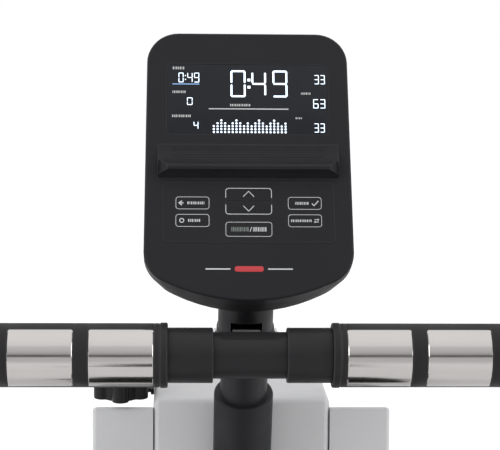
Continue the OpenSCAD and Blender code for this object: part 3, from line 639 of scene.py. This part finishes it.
def make_keys():
    for name, (x, y, w, h) in KEYS.items():
        bm = bmesh.new()
        outline = rectangle(x - w / 2, y - h / 2, x + w / 2, y + h / 2, 2.7)
        slab(bm, outline, -2.6, KEY_TOP, 0.3, CONSOLE)
        as_piece(bm, name + "_cap", name, SLOT_OF[name], (name,))
        marks, dim = bmesh.new(), bmesh.new()
        key_marks(marks, dim, name)
        as_piece(marks, name + "_marks", name, SLOT_OF[name], material="print")
        if dim.verts:
            as_piece(dim, name + "_dim_marks", name, SLOT_OF[name], material="print_dim")
        else:
            dim.free()


def make_console():
    dressed("console_front", 0.25, wide=2.2, wide_where=on_outer_rim)
    dressed("console_back", 0.5)
    dressed("membrane_panel", 0.12)
    bm = bmesh.new()
    slab(bm, rectangle(*LENS, 4), -2.5, -0.3, 0.25, CONSOLE)
    as_piece(bm, "console_window", "frame", "lens", ("console_lens",))
    # shallow ribs that keep a phone from sliding on the ledge
    bm = bmesh.new()
    ramp = [(134.5, 0.9), (132, 1.3), (129.5, 1.75), (126.8, 2.95), (124.2, 4.1), (121.6, 5.6)]
    for i, (y, z) in enumerate(ramp):
        reach = 66 - 2.5 * (i % 3)
        path = [CONSOLE @ Vector((x, y, z)) for x in (-reach, reach)]
        sweep(bm, path, circle(0.2, 8), up=UP)
    as_piece(bm, "ledge_ribs", "frame", "console_plastic")
    # plain trim strip below the keys: a short bar between two pale lines
    bm = bmesh.new()
    slab(bm, rectangle(-12, 24.6, 12, 29.4, 2.4), -0.02, 0.25, 0.1, CONSOLE)
    as_piece(bm, "trim_badge", "frame", "console_plastic", material="accent")
    bm = bmesh.new()
    for side in (-1, 1):
        stroke(bm, [(side * 15.5, 27), (side * 36, 27)], 1.1, -0.02, 0.08)
    as_piece(bm, "trim_lines", "frame", "console_plastic", material="print")
    make_display()
    make_keys()
    make_console_rear()


def make_console_rear():
    """Battery door, vent slots and finger ribs on the back of the console. Each vent slot is a dark sheet
    behind the frets: painted shade.
    """
    rear = CONSOLE @ moved(0, 0, CONSOLE_BACK)
    bm = bmesh.new()
    slab(bm, rectangle(-34, 152, 34, 206, 5), -1.0, 0.5, 0, rear, 0.7)
    for i in range(5):
        y = 193.5 + 2.4 * i
        slab(bm, rectangle(-9, y - 0.5, 9, y + 0.5, 0.5), -1.7, -0.9, 0, rear, 0.3)
    as_piece(bm, "battery_door", "frame", "console_plastic")
    vents, frets = bmesh.new(), bmesh.new()
    for side in (-1, 1):
        x0, x1 = sorted((side * 48, side * 68))
        # a dark sheet behind the frets stands in for the shade inside the vent slots: painted shade
        slab(vents, rectangle(x0, 72, x1, 128, 2), -0.15, 0.3, 0, rear)
        for i in range(8):
            y = 75.5 + 7 * i
            slab(frets, rectangle(x0 - 0.5, y - 1.6, x1 + 0.5, y + 1.6, 1.5), -0.8, 0.2, 0, rear, 0.5)
    as_piece(vents, "console_vent_shade", "frame", "rubber")
    as_piece(frets, "console_vent_frets", "frame", "console_plastic")


# ---------- handle and mast ----------

def ring_profile(points, bore, radius=0.8):
    """Rounded outer profile of a sleeve on the handle: (radius, height) points, then its bore."""
    h0, h1 = points[0][1], points[-1][1]
    return rounded([(bore, h0, 0), *points, (bore, h1, 0)], radius, 3)


PLATE_SPANS = ((78.0, 130.0), (142.5, 194.5))  # along the bar, from its middle
PLATE_FRONT = (-60.0, 68.0)                    # degrees round the bar, from the user's side upwards
PLATE_REAR = (112.0, 240.0)


def curved_plate(bm, x0, x1, a0, a1, outer, inner, corner=2.5, edge=0.45):
    """A thin plate wrapped on the handle between two angles above the front horizontal."""
    rows, cols = 28, 14
    length = radians(a1 - a0) * outer
    loops = []
    for i in range(rows + 1):
        v = length * (0.5 - 0.5 * cos(pi * i / rows))
        near = min(v, length - v)
        cut = corner - sqrt(max(0.0, corner ** 2 - (corner - near) ** 2)) if near < corner else 0
        angle = radians(a0) + v / outer
        top, low = [], []
        for k in range(cols + 1):
            x = x0 + cut + (x1 - x0 - 2 * cut) * (0.5 - 0.5 * cos(pi * k / cols))
            rim = min(near, x - x0, x1 - x)
            drop = edge - sqrt(max(0.0, edge ** 2 - (edge - rim) ** 2)) if rim < edge else 0.0
            for r, row in ((outer - drop, top), (inner, low)):
                row.append(Vector((x, HANDLE_Y - r * cos(angle), HANDLE_Z + r * sin(angle))))
        loops.append(top + low[::-1])
    join_rings(bm, loops)


def make_handle():
    """Centre cover, side sleeves, grips and the chrome plates let into them."""
    bm = bmesh.new()
    lathe(bm, ring_profile([(19, -30), (19, -20), (19, 20), (19, 30)], 11, 0.5), HANDLE)
    as_piece(bm, "handle_center", "handle", "sleeve_plastic", ("handle_hub",))
    bm = bmesh.new()
    eye = rounded([(16, -6), (22, -5), (27, -2.5), (27, 3), (16, 6)], 1.2)
    slab(bm, eye, -13.5, 13.5, 0.8, side_plane(1, 0, HANDLE_Y, HANDLE_Z))
    as_piece(bm, "strap_eye", "handle", "sleeve_plastic")
    sleeves, grips, plates = bmesh.new(), bmesh.new(), bmesh.new()
    for sign in (-1, 1):
        half = HANDLE @ Matrix.Diagonal((1, 1, sign, 1))
        lathe(sleeves, ring_profile([(22.5, 30), (22.5, 66.5)], 11, 0.9), half)
        rim = [(26.5, 66.5, 1.6), (26.5, 72.4, 0.5), (25.7, 72.9, 0), (25.7, 73.4, 0), (26, 73.8, 0.3)]
        seats = []
        for x0, x1 in PLATE_SPANS:
            seats += [(26, x0 - 0.3, 0.3), (25, x0 - 0.3, 0), (25, x1 + 0.3, 0), (26, x1 + 0.3, 0.3)]
        end = [(26, 208, 2.5), (24.5, 210.5, 2), (19, 212, 1)]
        lathe(grips, rounded([(11, 66.5, 0), *rim, *seats, *end, (11, 212, 0)], 0.3, 3), half)
        # closed end
        lathe(grips, [(0.5, 206), (11.2, 206), (11.2, 211.9), (0.5, 211.9)], half)
        for a, b in PLATE_SPANS:
            x0, x1 = sorted((sign * a, sign * b))
            for a0, a1 in (PLATE_FRONT, PLATE_REAR):
                curved_plate(plates, x0, x1, a0, a1, GRIP_R, GRIP_R - 1.1)
            for a0, a1 in ((PLATE_FRONT[1], PLATE_REAR[0]), (PLATE_REAR[1], PLATE_FRONT[0] + 360)):
                curved_plate(grips, x0 - 0.2, x1 + 0.2, a0 + 0.6, a1 - 0.6, GRIP_R, GRIP_R - 1.2,
                             0.3, 0.15)
    as_piece(sleeves, "handle_side_sleeves", "handle", "sleeve_plastic", ("handle_sleeves",))
    as_piece(grips, "handle_grip_covers", "handle", "grip_foam", ("handle_grips",))
    as_piece(plates, "pulse_plates", "handle", "chrome", ("contact_plates",))


def make_pull_strap():
    """Webbing from the slot in the mast to the handle's eye."""
    low, high = box_mm("pull_strap")
    middle = (low.z + high.z) / 2
    steps = 40
    path = [Vector((0, high.y + (low.y - high.y) * i / steps, middle)) for i in range(steps + 1)]
    half = (high.x - low.x) / 2
    bm = bmesh.new()
    sweep(bm, path, rectangle(-half, -0.75, half, 0.75, 0.6, 3))
    strap = as_piece(bm, "pull_webbing", None, "webbing", ("pull_strap",), smooth_deg=50)
    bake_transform(strap)


def bolt_head(bm, where, radius, height):
    """A domed head with a hexagon socket, standing on the XY plane of where."""
    socket = radius * 0.45
    outer = [(radius, 0), (radius, height * 0.3), (radius * 0.9, height * 0.68),
             (radius * 0.68, height * 0.92), (socket * 1.15, height)]
    loops = [[(r, h)] * 36 for r, h in outer]
    flats = [cos(pi / 6) / cos(a % (pi / 3) - pi / 6) for a in turns(36)]
    loops += [[(socket * share, h) for share in flats] for h in (height * 0.97, height * 0.35)]
    join_rings(bm, [[polar(r, a, h) for (r, h), a in zip(loop, turns(36))] for loop in loops], where)


def make_mast():
    dressed("mast_tube", 0.4)
    bm = bmesh.new()
    lathe(bm, rounded([(21.05, -200, 0), (26.5, -200, 1), (26.5, -83, 4.5), (21.05, -83, 0)], 0, 6), MAST)
    as_piece(bm, "mast_boot_cover", "frame", SLOT_OF["mast_boot"], ("mast_boot",))
    dressed("neck_sleeve", 0.5)
    dressed("handle_cradle", 0.8)
    # domed heads on the guide roller's pin
    bm = bmesh.new()
    for turn in (Matrix(), Matrix.Rotation(pi, 4, "Z")):
        where = MAST @ moved(0, 0, -20) @ turn @ Z_TO_X
        bolt_head(bm, where @ moved(0, 0, 25.2), 6.0, 3.2)
    as_piece(bm, "roller_pin_heads", "frame", "steel")


# ---------- shroud ----------

def on_outer_edge(edge, half_width):
    """True for the outer rim of a shroud piece, except along its underside."""
    if any(abs(abs(v.co.x / MM) - half_width) > 0.05 for v in edge.verts):
        return False
    return max(v.co.z / MM for v in edge.verts) > 185


def make_shroud():
    dressed("center_shroud", 0.5, wide=6.0, wide_where=lambda edge: on_outer_edge(edge, HUMP_HW))
    for node in ("left_shroud", "right_shroud"):
        dressed(node, 0.6, wide=7.0, wide_where=lambda edge: on_outer_edge(edge, SHOULDER_HW))
    dressed("knob_bracket", 0.6)
    make_louvers()
    # gaskets behind the seams between the hump and the shoulders
    bm = bmesh.new()
    outline = [(443.4, 181.5), (902.4, 100), *arc(860, 235, 59.8, -20, 78, 12), (832, 315.6),
               (700, 397.6), (482.2, 508.8)]
    for side in (-1, 1):
        slab(bm, [Vector(p) for p in outline], 0.15, 2.0, 0, side_plane(side, HUMP_HW))
    as_piece(bm, "seam_gaskets", "frame", "rubber")
    make_knob()


def make_knob():
    """Five-lobed knob, turned so that one lobe faces the user."""
    low, high = box_mm("side_knob")
    where = moved(-111.5, 497, 0)
    valley, lobe_at, lobe_r = 19.0, 18, 8       # radius between the lobes, place and radius of a lobe
    outline = []
    for a in turns(180):
        off = (a + pi / 2 + pi / 5) % (2 * pi / 5) - pi / 5
        reach = valley
        if abs(sin(off)) < lobe_r / lobe_at:
            across = lobe_at * sin(off)
            reach = max(reach, lobe_at * cos(off) + sqrt(lobe_r ** 2 - across ** 2))
        outline.append(polar(reach, a))
    bm = bmesh.new()
    slab(bm, outline, low.z, high.z, 1.8, where, 1.0)
    lathe(bm, [(0.2, high.z - 0.5), (11, high.z - 0.5), (10.6, high.z + 0.25), (0.2, high.z + 0.5)],
          where, 48, wrap=False)
    as_piece(bm, "star_knob", "side_knob", "knob_plastic", ("side_knob",))


def make_louvers():
    """Vents, plugs and raised ribs on the sides of the shroud. Under each vent's hood a dark sheet stands
    in for the shade in the opening: painted shade.
    """
    hoods, slots, plugs = bmesh.new(), bmesh.new(), bmesh.new()
    for side in (-1, 1):
        face = side_plane(side, SHOULDER_HW)
        for i in range(7):
            z = 190 + 17 * i
            y0, y1 = 560 + 3.5 * i, 690 - 3.5 * i
            # a dark sheet under the hood stands in for the shade in the vent's opening: painted shade
            slab(slots, rectangle(y0, z - 4.0, y1, z + 1.0, 2.4), -0.3, 0.12, 0, face)
            section = ((-0.3, 5.0), (-0.3, -0.2), (1.7, -0.4), (2.1, 0.2), (1.6, 1.2))
            join_rings(hoods, [[Vector((y, z + up, out)) for out, up in section]
                               for y in (y0 - 1, y1 + 1)], face)
        for y, z in ((505, 470), (470, 225), (885, 135), (845, 270)):
            where = side_plane(side, SHOULDER_HW, y, z)
            lathe(plugs, [(0.2, -0.3), (6.5, -0.3), (6.5, 0.5), (5.9, 1.0), (0.2, 1.2)], where, 40,
                  wrap=False)
            lathe(plugs, [(7.0, -0.3), (8.6, -0.3), (8.6, 0.25), (8.2, 0.5), (7.2, 0.5)], where, 40)
        for r in (118, 132):
            stroke(hoods, arc(775, 325, r, 34, 92, 29), 3.0, -0.3, 0.9, side_plane(side, HUMP_HW))
    as_piece(slots, "vent_slot_shade", "frame", "rubber")
    as_piece(hoods, "vent_hoods", "frame", "grey_plastic")
    as_piece(plugs, "shroud_plugs", "frame", "grey_plastic")


# ---------- frame, rail and seat ----------

def bead_loop(bm, points):
    """A weld bead along a closed path of points."""
    path = []
    for a, b in zip(points, points[1:] + points[:1]):
        pieces = max(2, int((b - a).length / 1.6))
        path += [a + (b - a) * k / pieces for k in range(pieces)]
    loops = []
    middle = sum(path, Vector()) / len(path)
    for i, point in enumerate(path):
        along = (path[(i + 1) % len(path)] - path[i - 1]).normalized()
        side = ((point - middle) - along * along.dot(point - middle)).normalized()
        out = along.cross(side)
        ripple = 2.0 * (1 + 0.12 * sin(i * 1.9))
        loops.append([point + (side * q.x + out * q.y) * ripple for q in circle(1, 8)])
    join_rings(bm, loops, wrap=True)


def make_welds():
    """Beads round the posts, and where the beam meets the front stabilizer."""
    def round_post(bm, y0, y1, z):
        bead_loop(bm, [Vector((p.x, p.y, z)) for p in rectangle(-20, y0, 20, y1, 4, 3)])

    bm = bmesh.new()
    round_post(bm, 160, 210, 62.5)
    for x in (-25.5, 25.5):
        bead_loop(bm, [Vector((x, FRONT_Y + p.x, TUBE_Z + p.y)) for p in circle(28.2, 48)])
    as_piece(bm, "frame_welds", "frame", "black_metal")
    bm = bmesh.new()
    for z in (63.5, 274.2):
        round_post(bm, -977, -937, z)
    as_piece(bm, "leg_welds", "rail", "black_metal")


def make_end_caps():
    """Grip rings on the stabilizers' end caps, and ribs across their feet."""
    for name, body, y, half, radius in (("front_cap_rings", "frame", FRONT_Y, 250, 29.0),
                                        ("rear_cap_rings", "rail", REAR_Y, 204, 28.0)):
        bm = bmesh.new()
        profile = [(radius - 0.4, -0.8), (radius + 0.35, -0.5), (radius + 0.35, 0.5), (radius - 0.4, 0.8)]
        for side in (-1, 1):
            for inset_by in (3.5, 6.5, 9.5):
                lathe(bm, profile, side_plane(1, side * (half - inset_by), y, TUBE_Z), 72)
        as_piece(bm, name, body, "rubber")
    for name, body, feet in (("foot_ribs", "frame", ((205, FRONT_Y), (160, MIDDLE_Y))),
                             ("rear_foot_ribs", "rail", ((150, REAR_Y),))):
        bm = bmesh.new()
        for x, y in feet:
            for side in (-1, 1):
                for k in range(5):
                    for end in (-1, 1):
                        where = moved(side * x, y + end * 22, 4 + 2.6 * k)
                        slab(bm, rectangle(-21, -0.35, 21, 0.35, 0.3, 2), -0.5, 0.5, 0.15, where)
        as_piece(bm, name, body, "rubber")


def make_rail_details():
    """Side inlays, polished wheel tracks, the end cap and stop screws of the rail."""
    inlay, tracks, cap, bolts = bmesh.new(), bmesh.new(), bmesh.new(), bmesh.new()
    for side in (-1, 1):
        face = side_plane(side, RAIL_HW)
        slab(inlay, rectangle(-968, 296.5, 96, 303.5, 3), -0.3, 0.18, 0.1, face)
        for z in (289, 311):
            stroke(inlay, [(-968, z), (96, z)], 0.8, -0.2, 0.12, face)
        x0, x1 = sorted((side * 10.5, side * 25.5))
        slab(tracks, rectangle(x0, -928, x1, -36, 2), -0.3, 0.1, 0.05, moved(0, 0, 325))
        for y, z in ((30, 312), (80, 288)):
            bolt_head(bolts, side_plane(side, RAIL_HW, y, z), 5.0, 2.6)
    rear = Matrix(((1, 0, 0, 0), (0, 0, -1, -980), (0, 1, 0, 300), (0, 0, 0, 1)))
    slab(cap, rectangle(-30.8, -25.8, 30.8, 25.8, 5), -0.5, 4.0, 1.8, rear)
    slab(cap, rectangle(-20, -15, 20, 15, 4), 3.9, 4.6, 0.5, rear)
    as_piece(inlay, "rail_inlays", "rail", "rubber")
    as_piece(tracks, "rail_tracks", "rail", "aluminium", material="polished")
    as_piece(cap, "rail_end_cap", "rail", "black_plastic")
    as_piece(bolts, "rail_bolts", "rail", "steel")


def make_carriage_details():
    """Bolt heads and scrub pads on the seat carriage."""
    bm, pads = bmesh.new(), bmesh.new()
    for side in (-1, 1):
        face = side_plane(side, CARRIAGE_HW)
        for y in (-420, -280):
            for z in (343.2, 263):
                bolt_head(bm, side_plane(side, CARRIAGE_HW, y, z), 7.0, 3.6)
        slab(pads, rectangle(-434, 292, -266, 308, 4), -0.2, 0.8, 0.6, face)
        for i in range(12):
            y = -425 + 13.6 * i
            slab(pads, rectangle(y, 295, y + 6, 305, 2), 0.7, 1.5, 0.5, face)
    as_piece(bm, "carriage_bolts", "seat", "steel")
    as_piece(pads, "carriage_pads", "seat", "rubber")


def make_wheels():
    """Transport wheels with a grooved tread and a recessed hub."""
    width = 29
    for side, name in ((-1, "left"), (1, "right")):
        x0 = 136 if side > 0 else -136 - width
        where = moved(x0, 959, 32) @ Z_TO_X
        grooves = []
        for z in (8.2, 18.4):
            grooves += [(25.9, z), (24.9, z + 0.6), (24.9, z + 1.8), (25.9, z + 2.4)]
        profile = [(5.1, 0, 0), (11.5, 0, 0.6), (11.5, 3, 0.5), (20.5, 3, 0.6), (20.5, 0.4, 0.5),
                   (25.9, 0.4, 2.5), *grooves, (25.9, 28.6, 2.5), (20.5, 28.6, 0.5), (20.5, 26, 0.6),
                   (11.5, 26, 0.5), (11.5, width, 0.6), (5.1, width, 0)]
        bm = bmesh.new()
        lathe(bm, rounded(profile, 0.3, 3), where)
        # spokes across the recessed face on both sides
        for k in range(6):
            for z0, z1 in ((1.2, 3.2), (25.8, 27.8)):
                spoke = where @ Matrix.Rotation(pi / 3 * k, 4, "Z")
                slab(bm, rectangle(11, -1.3, 21, 1.3, 0.5, 2), z0, z1, 0.4, spoke)
        as_piece(bm, name + "_tyre", name + "_wheel", "wheel_rubber", (name + "_wheel",))


def make_frame():
    """The CAD frame, rail and drive with softened edges, and the small pieces on them."""
    for edge, nodes in (
            (0.3, "drive_shaft servo_motor guide_roller strap_spool drive_pulley flywheel flywheel_shaft "
                  "brake_arm brake_magnets handle_tube drive_belt lcd_module console_board fasteners"),
            (0.4, "power_inlet"), (0.8, "main_frame seat_carriage"),
            (1.0, "rear_leg hinge_pin footrest_axle"), (1.2, "front_stabilizer rail_beam"),
            (1.5, "frame_feet rear_feet front_rollers rear_rollers"), (2.0, "rail_bumpers seat_base")):
        for node in nodes.split():
            rolled = node in ("front_rollers", "rear_rollers", "rail_bumpers", "seat_base")
            dressed(node, edge, 1 if edge == 0.3 else 3 if rolled else 2)
    bm = bmesh.new()
    for side in (-1, 1):
        for end in (HINGE_PIN, FOOT_AXLE):
            bolt_head(bm, side_plane(side, *end), 9.0, 3.0)
    as_piece(bm, "pin_heads", "frame", "steel")
    make_welds()
    make_end_caps()
    make_rail_details()
    make_carriage_details()
    make_wheels()


def seat_outline(centre, hw, hd, steps=120, waist=0.0):
    """A soft rectangle whose sides draw in at their middles by waist."""
    out = []
    for a in turns(steps):
        c, s = cos(a), sin(a)
        x = (hw - waist * (1 - s * s)) * copysign(abs(c) ** 0.42, c)
        y = (hd - waist * (1 - c * c)) * copysign(abs(s) ** 0.42, s)
        out.append(Vector((centre.x + x, centre.y + y)))
    return out


def applied(piece):
    """Bakes a piece's modifiers into its mesh."""
    graph = bpy.context.evaluated_depsgraph_get()
    graph.update()
    mesh = bpy.data.meshes.new_from_object(piece.evaluated_get(graph))
    piece.modifiers.clear()
    piece.data = mesh


def stuffed(piece, voxel, pressure, cap, held):
    """Fills a closed cover like a cushion: cloth under pressure, held where held says so.

    No point moves further than cap.
    """
    frames = 20
    remesh = piece.modifiers.new("remesh", "REMESH")
    remesh.mode = "VOXEL"
    remesh.voxel_size = voxel
    remesh.use_smooth_shade = True
    applied(piece)
    start = [v.co.copy() for v in piece.data.vertices]
    group = piece.vertex_groups.new(name="held")
    group.add([v.index for v in piece.data.vertices if held(v.co)], 1.0, "REPLACE")
    cloth = piece.modifiers.new("cloth", "CLOTH")
    cloth.settings.use_pressure = True
    cloth.settings.uniform_pressure_force = pressure
    cloth.settings.effector_weights.gravity = 0
    cloth.settings.vertex_group_mass = "held"
    cloth.point_cache.frame_start = 1
    cloth.point_cache.frame_end = frames
    for number in range(1, frames + 1):
        bpy.context.scene.frame_set(number)
    applied(piece)
    piece.vertex_groups.clear()
    for v, before in zip(piece.data.vertices, start):
        move = v.co - before
        if move.length > cap:
            v.co = before + move.normalized() * cap
    bpy.context.scene.frame_set(1)
    round_off = piece.modifiers.new("round_off", "SUBSURF")
    round_off.levels = round_off.render_levels = 1
    applied(piece)
    piece.data.shade_smooth()


def make_seat():
    low, high = box_mm("seat_pad")
    middle = Vector((0, (low.y + high.y) / 2))
    hw, hd = (high.x - low.x) / 2, (high.y - low.y) / 2
    bm = bmesh.new()
    loops = []
    for grow, z in ((-16, 0), (-10, 3), (-7, 12), (-6, 20), (-7, 28), (-12, 36), (-22, 41.5), (-40, 43.5),
                    (-70, 42.5), (-100, 41)):
        outline = seat_outline(middle, hw + grow, hd + grow, waist=4)
        loops.append([Vector((p.x, p.y, low.z + z + saddle(p - middle, hw, hd) * z / 43))
                      for p in outline])
    join_rings(bm, loops)
    pad = as_piece(bm, "seat_cushion", "seat", "seat_vinyl", ("seat_pad",))
    floor_z = (low.z + 4) * MM
    stuffed(pad, voxel=0.005, pressure=4.0, cap=0.006, held=lambda co: co.z < floor_z)
    for v in pad.data.vertices:
        v.co.z = min(max(v.co.z, low.z * MM), (high.z + 1.0) * MM)
    make_seat_seams(pad, middle, hw, hd, low.z)


def saddle(p, hw, hd):
    """How far the pad's top rises or dips at a point: two shallow hollows and a raised rear."""
    u, v = p.x / hw, p.y / hd
    hollow = exp(-((abs(u) - 0.42) / 0.3) ** 2 - ((v - 0.05) / 0.62) ** 2)
    channel = exp(-(u / 0.12) ** 2) * (1 if v > -0.2 else exp(-((v + 0.2) / 0.3) ** 2))
    return 2.5 - 4.5 * hollow - 2.0 * channel - 2.2 * max(0.0, v) ** 2


def make_seat_seams(pad, middle, hw, hd, base):
    """Piping round the side, a sewn line near the rim and one across the middle."""
    tree = BVHTree.FromPolygons([v.co.copy() for v in pad.data.vertices],
                                [tuple(f.vertices) for f in pad.data.polygons])
    piping, thread = bmesh.new(), bmesh.new()
    pitch, stitch = 4.6, 2.9
    ring = []
    for p in seat_outline(middle, hw + 40, hd + 40, 200):
        start = Vector((p.x, p.y, base + 30)) * MM
        inward = Vector((middle.x - p.x, middle.y - p.y, 0)).normalized()
        hit = tree.ray_cast(start, inward)[0]
        if hit:
            ring.append(hit / MM - inward * 0.4)
    sweep(piping, ring, circle(1.7, 10), closed=True, up=UP)
    as_piece(piping, "seat_piping", "seat", "seat_vinyl")

    def on_top(x, y):
        hit, normal = tree.ray_cast(Vector((x, y, base + 90)) * MM, -UP)[:2]
        return (hit / MM, normal) if hit else (None, None)

    rim = seat_outline(middle, hw - 24, hd - 24, 400)
    across = [Vector((0, middle.y - hd + 26 + i)) for i in range(int(2 * hd - 52))]
    for seam in (rim + rim[:1], across):
        run, last = 0.0, seam[0]
        for a, b in zip(seam, seam[1:]):
            run += (b - last).length
            last = b
            if run % pitch > stitch:
                continue
            p, n1 = on_top(a.x, a.y)
            q, n2 = on_top(b.x, b.y)
            if p is None or q is None:
                continue
            sweep(thread, [p + n1 * 0.05, q + n2 * 0.05], circle(0.4, 6),
                  up=Vector((0.3, 0.2, 1)).normalized())
    as_piece(thread, "seat_stitches", "seat", "seat_vinyl", material="thread")


def make_footrests():
    """Footplates with treads, a wrapped heel cup and a buckled strap."""
    for side, name in ((-1, "left"), (1, "right")):
        foot = Matrix.Diagonal((side, 1, 1, 1)) @ FOOTPLATE
        body = name + "_footrest"
        dressed(name + "_footplate", 1.2)
        treads = bmesh.new()
        rows = [-62 + 11 * k for k in range(9)] + [102 + 11 * k for k in range(5)]
        for y in rows:
            for x0, x1 in ((64, 99), (107, 142)):
                slab(treads, rectangle(x0, y, x1, y + 5.5, 2.6, 3), 11.8, 13.6, 0.8, foot)
        as_piece(treads, name + "_treads", body, "rubber")
        # heel cup: a wall that wraps the heel and falls away towards its ends
        cup = bmesh.new()
        loops = []
        steps = 32
        for k in range(steps + 1):
            a = pi * k / steps
            high = 14 + 34 * sin(a) ** 1.4
            wall = ((44.5, 11.5), (44.5, high - 0.8), (43.7, high), (42.3, high), (41.5, high - 0.8),
                    (41.5, 11.5))
            loops.append([Vector((FOOT_X - r * cos(a), -72 - (r - 0.5) * sin(a), z)) for r, z in wall])
        join_rings(cup, loops, foot)
        as_piece(cup, name + "_heel_cup", body, "black_plastic")
        make_foot_strap(foot, name, body)


def over_foot(r, a, y=STRAP_Y):
    """A point at that radius and angle round the foot's instep, in the footplate's frame."""
    return Vector((FOOT_X + r * cos(a), y, INSTEP_Z + r * sin(a)))


def strap_layer(bm, foot, radius, a0, a1, half, thick, legs=0.0):
    """One layer of webbing bent over the foot, with straight legs of that length at its ends."""
    steps = 56
    path = [over_foot(radius, radians(a0 + (a1 - a0) * k / steps)) for k in range(steps + 1)]
    if legs:
        drop = Vector((0, 0, -legs))
        path = [over_foot(radius, pi) + drop, *path, over_foot(radius, 0) + drop]
    along = (foot @ Vector((0, 1, 0))) - (foot @ Vector((0, 0, 0)))
    sweep(bm, [foot @ p for p in path], rectangle(-half, -thick / 2, half, thick / 2, 0.6, 2), up=along)


def make_foot_strap(foot, name, body):
    bm = bmesh.new()
    strap_layer(bm, foot, 48.4, 180, 0, 22.5, 2.6, 42.0)
    strap_layer(bm, foot, 50.6, 96, 30, 20.5, 1.6)
    as_piece(bm, name + "_strap_webbing", body, "webbing", (name + "_foot_strap",), smooth_deg=50)
    # rows of short stitches along both edges, which step up onto the upper layer
    bm = bmesh.new()
    for y in (STRAP_Y - 19.5, STRAP_Y + 19.5):
        for k in range(48):
            at = 174 - 3.5 * k
            r = 51.5 if 29 <= at <= 97 else 49.9
            ends = [foot @ over_foot(r, radians(at) + turn, y) for turn in (-0.018, 0.018)]
            sweep(bm, ends, circle(0.35, 6), up=Vector((0, 0.6, 0.8)))
    as_piece(bm, name + "_strap_stitches", body, "webbing", material="thread")
    # cam buckle at the top of the strap
    top = foot @ moved(FOOT_X, STRAP_Y, 84.2)
    bm = bmesh.new()
    stroke(bm, rectangle(-15, -24, 15, 24, 4), 3.6, -0.6, 3.0, top, closed=True)
    slab(bm, rectangle(-2.0, -23, 2.0, 23, 1.0), 0.2, 2.6, 0.8, top)
    slab(bm, rectangle(3.5, -17, 13.0, 17, 2.5), 1.4, 4.4, 1.2, top)
    for y in range(-14, 15, 4):
        slab(bm, rectangle(5.0, y - 0.7, 11.5, y + 0.7, 0.6, 2), 4.2, 5.0, 0.4, top)
    as_piece(bm, name + "_buckle", body, "black_plastic")


make_console()
make_handle()
make_pull_strap()
make_mast()
make_shroud()
make_frame()
make_seat()
make_footrests()


# ---------- stage ----------

def make_stage():
    mesh = bpy.data.meshes.new("floor")
    reach = 60
    mesh.from_pydata([(-reach, -reach, 0), (reach, -reach, 0), (reach, reach, 0), (-reach, reach, 0)],
                     [], [(0, 1, 2, 3)])
    material, _, shader = new_material("floor")
    set_inputs(shader, Base_Color=(0.95, 0.95, 0.95, 1), Roughness=0.7)
    mesh.materials.append(material)
    new_object("floor", mesh)


def softbox(name, at, look_at, size, watts):
    light = bpy.data.lights.new(name, "AREA")
    light.shape = "RECTANGLE"
    light.size, light.size_y = size
    light.energy = watts
    lamp = new_object(name, light)
    lamp.location = at
    lamp.rotation_mode = "QUATERNION"
    lamp.rotation_quaternion = (Vector(look_at) - Vector(at)).to_track_quat("-Z", "Y")


def make_lights():
    world = bpy.data.worlds.new("studio")
    bpy.context.scene.world = world
    world.use_nodes = True
    tree = world.node_tree
    # a bright studio with a dim band where its walls meet the ceiling's lights
    height = add(tree, "SeparateXYZ", add(tree, "TexCoord").outputs["Generated"]).outputs["Z"]
    ramp = add(tree, "ValToRGB", height)
    levels = ramp.color_ramp.elements
    levels[0].color = (1, 1, 1, 1)
    levels[1].color = (1.35, 1.35, 1.35, 1)
    for at, level in ((0.12, 1.0), (0.16, 0.2), (0.25, 0.2), (0.32, 0.75), (0.5, 1.0)):
        levels.new(at).color = (level, level, level, 1)
    feed(tree, tree.nodes["Background"].inputs["Color"], ramp.outputs["Color"])
    target = (0, 0.35, 0.6)
    softbox("top", (0, 0.2, 3.2), target, (4.4, 4.4), 14)
    softbox("left", (-2.6, -1.2, 1.9), target, (1.4, 2.0), 48)
    softbox("right", (2.6, -0.8, 1.7), target, (1.4, 2.0), 36)


def make_camera():
    data = bpy.data.cameras.new("camera")
    data.sensor_width = 36.0
    data.lens = 126.0                           # lens and place were fitted to the photograph
    camera = new_object("camera", data)
    turn = (Matrix.Rotation(radians(-2.208), 4, "Z") @ Matrix.Rotation(radians(78.81), 4, "X")
            @ Matrix.Rotation(radians(0.628), 4, "Z"))
    camera.matrix_world = moved(-0.05395, -1.07088, 0.990786) @ turn
    bpy.context.scene.camera = camera


make_stage()
make_lights()
make_camera()
bpy.context.scene.view_settings.view_transform = "Standard"
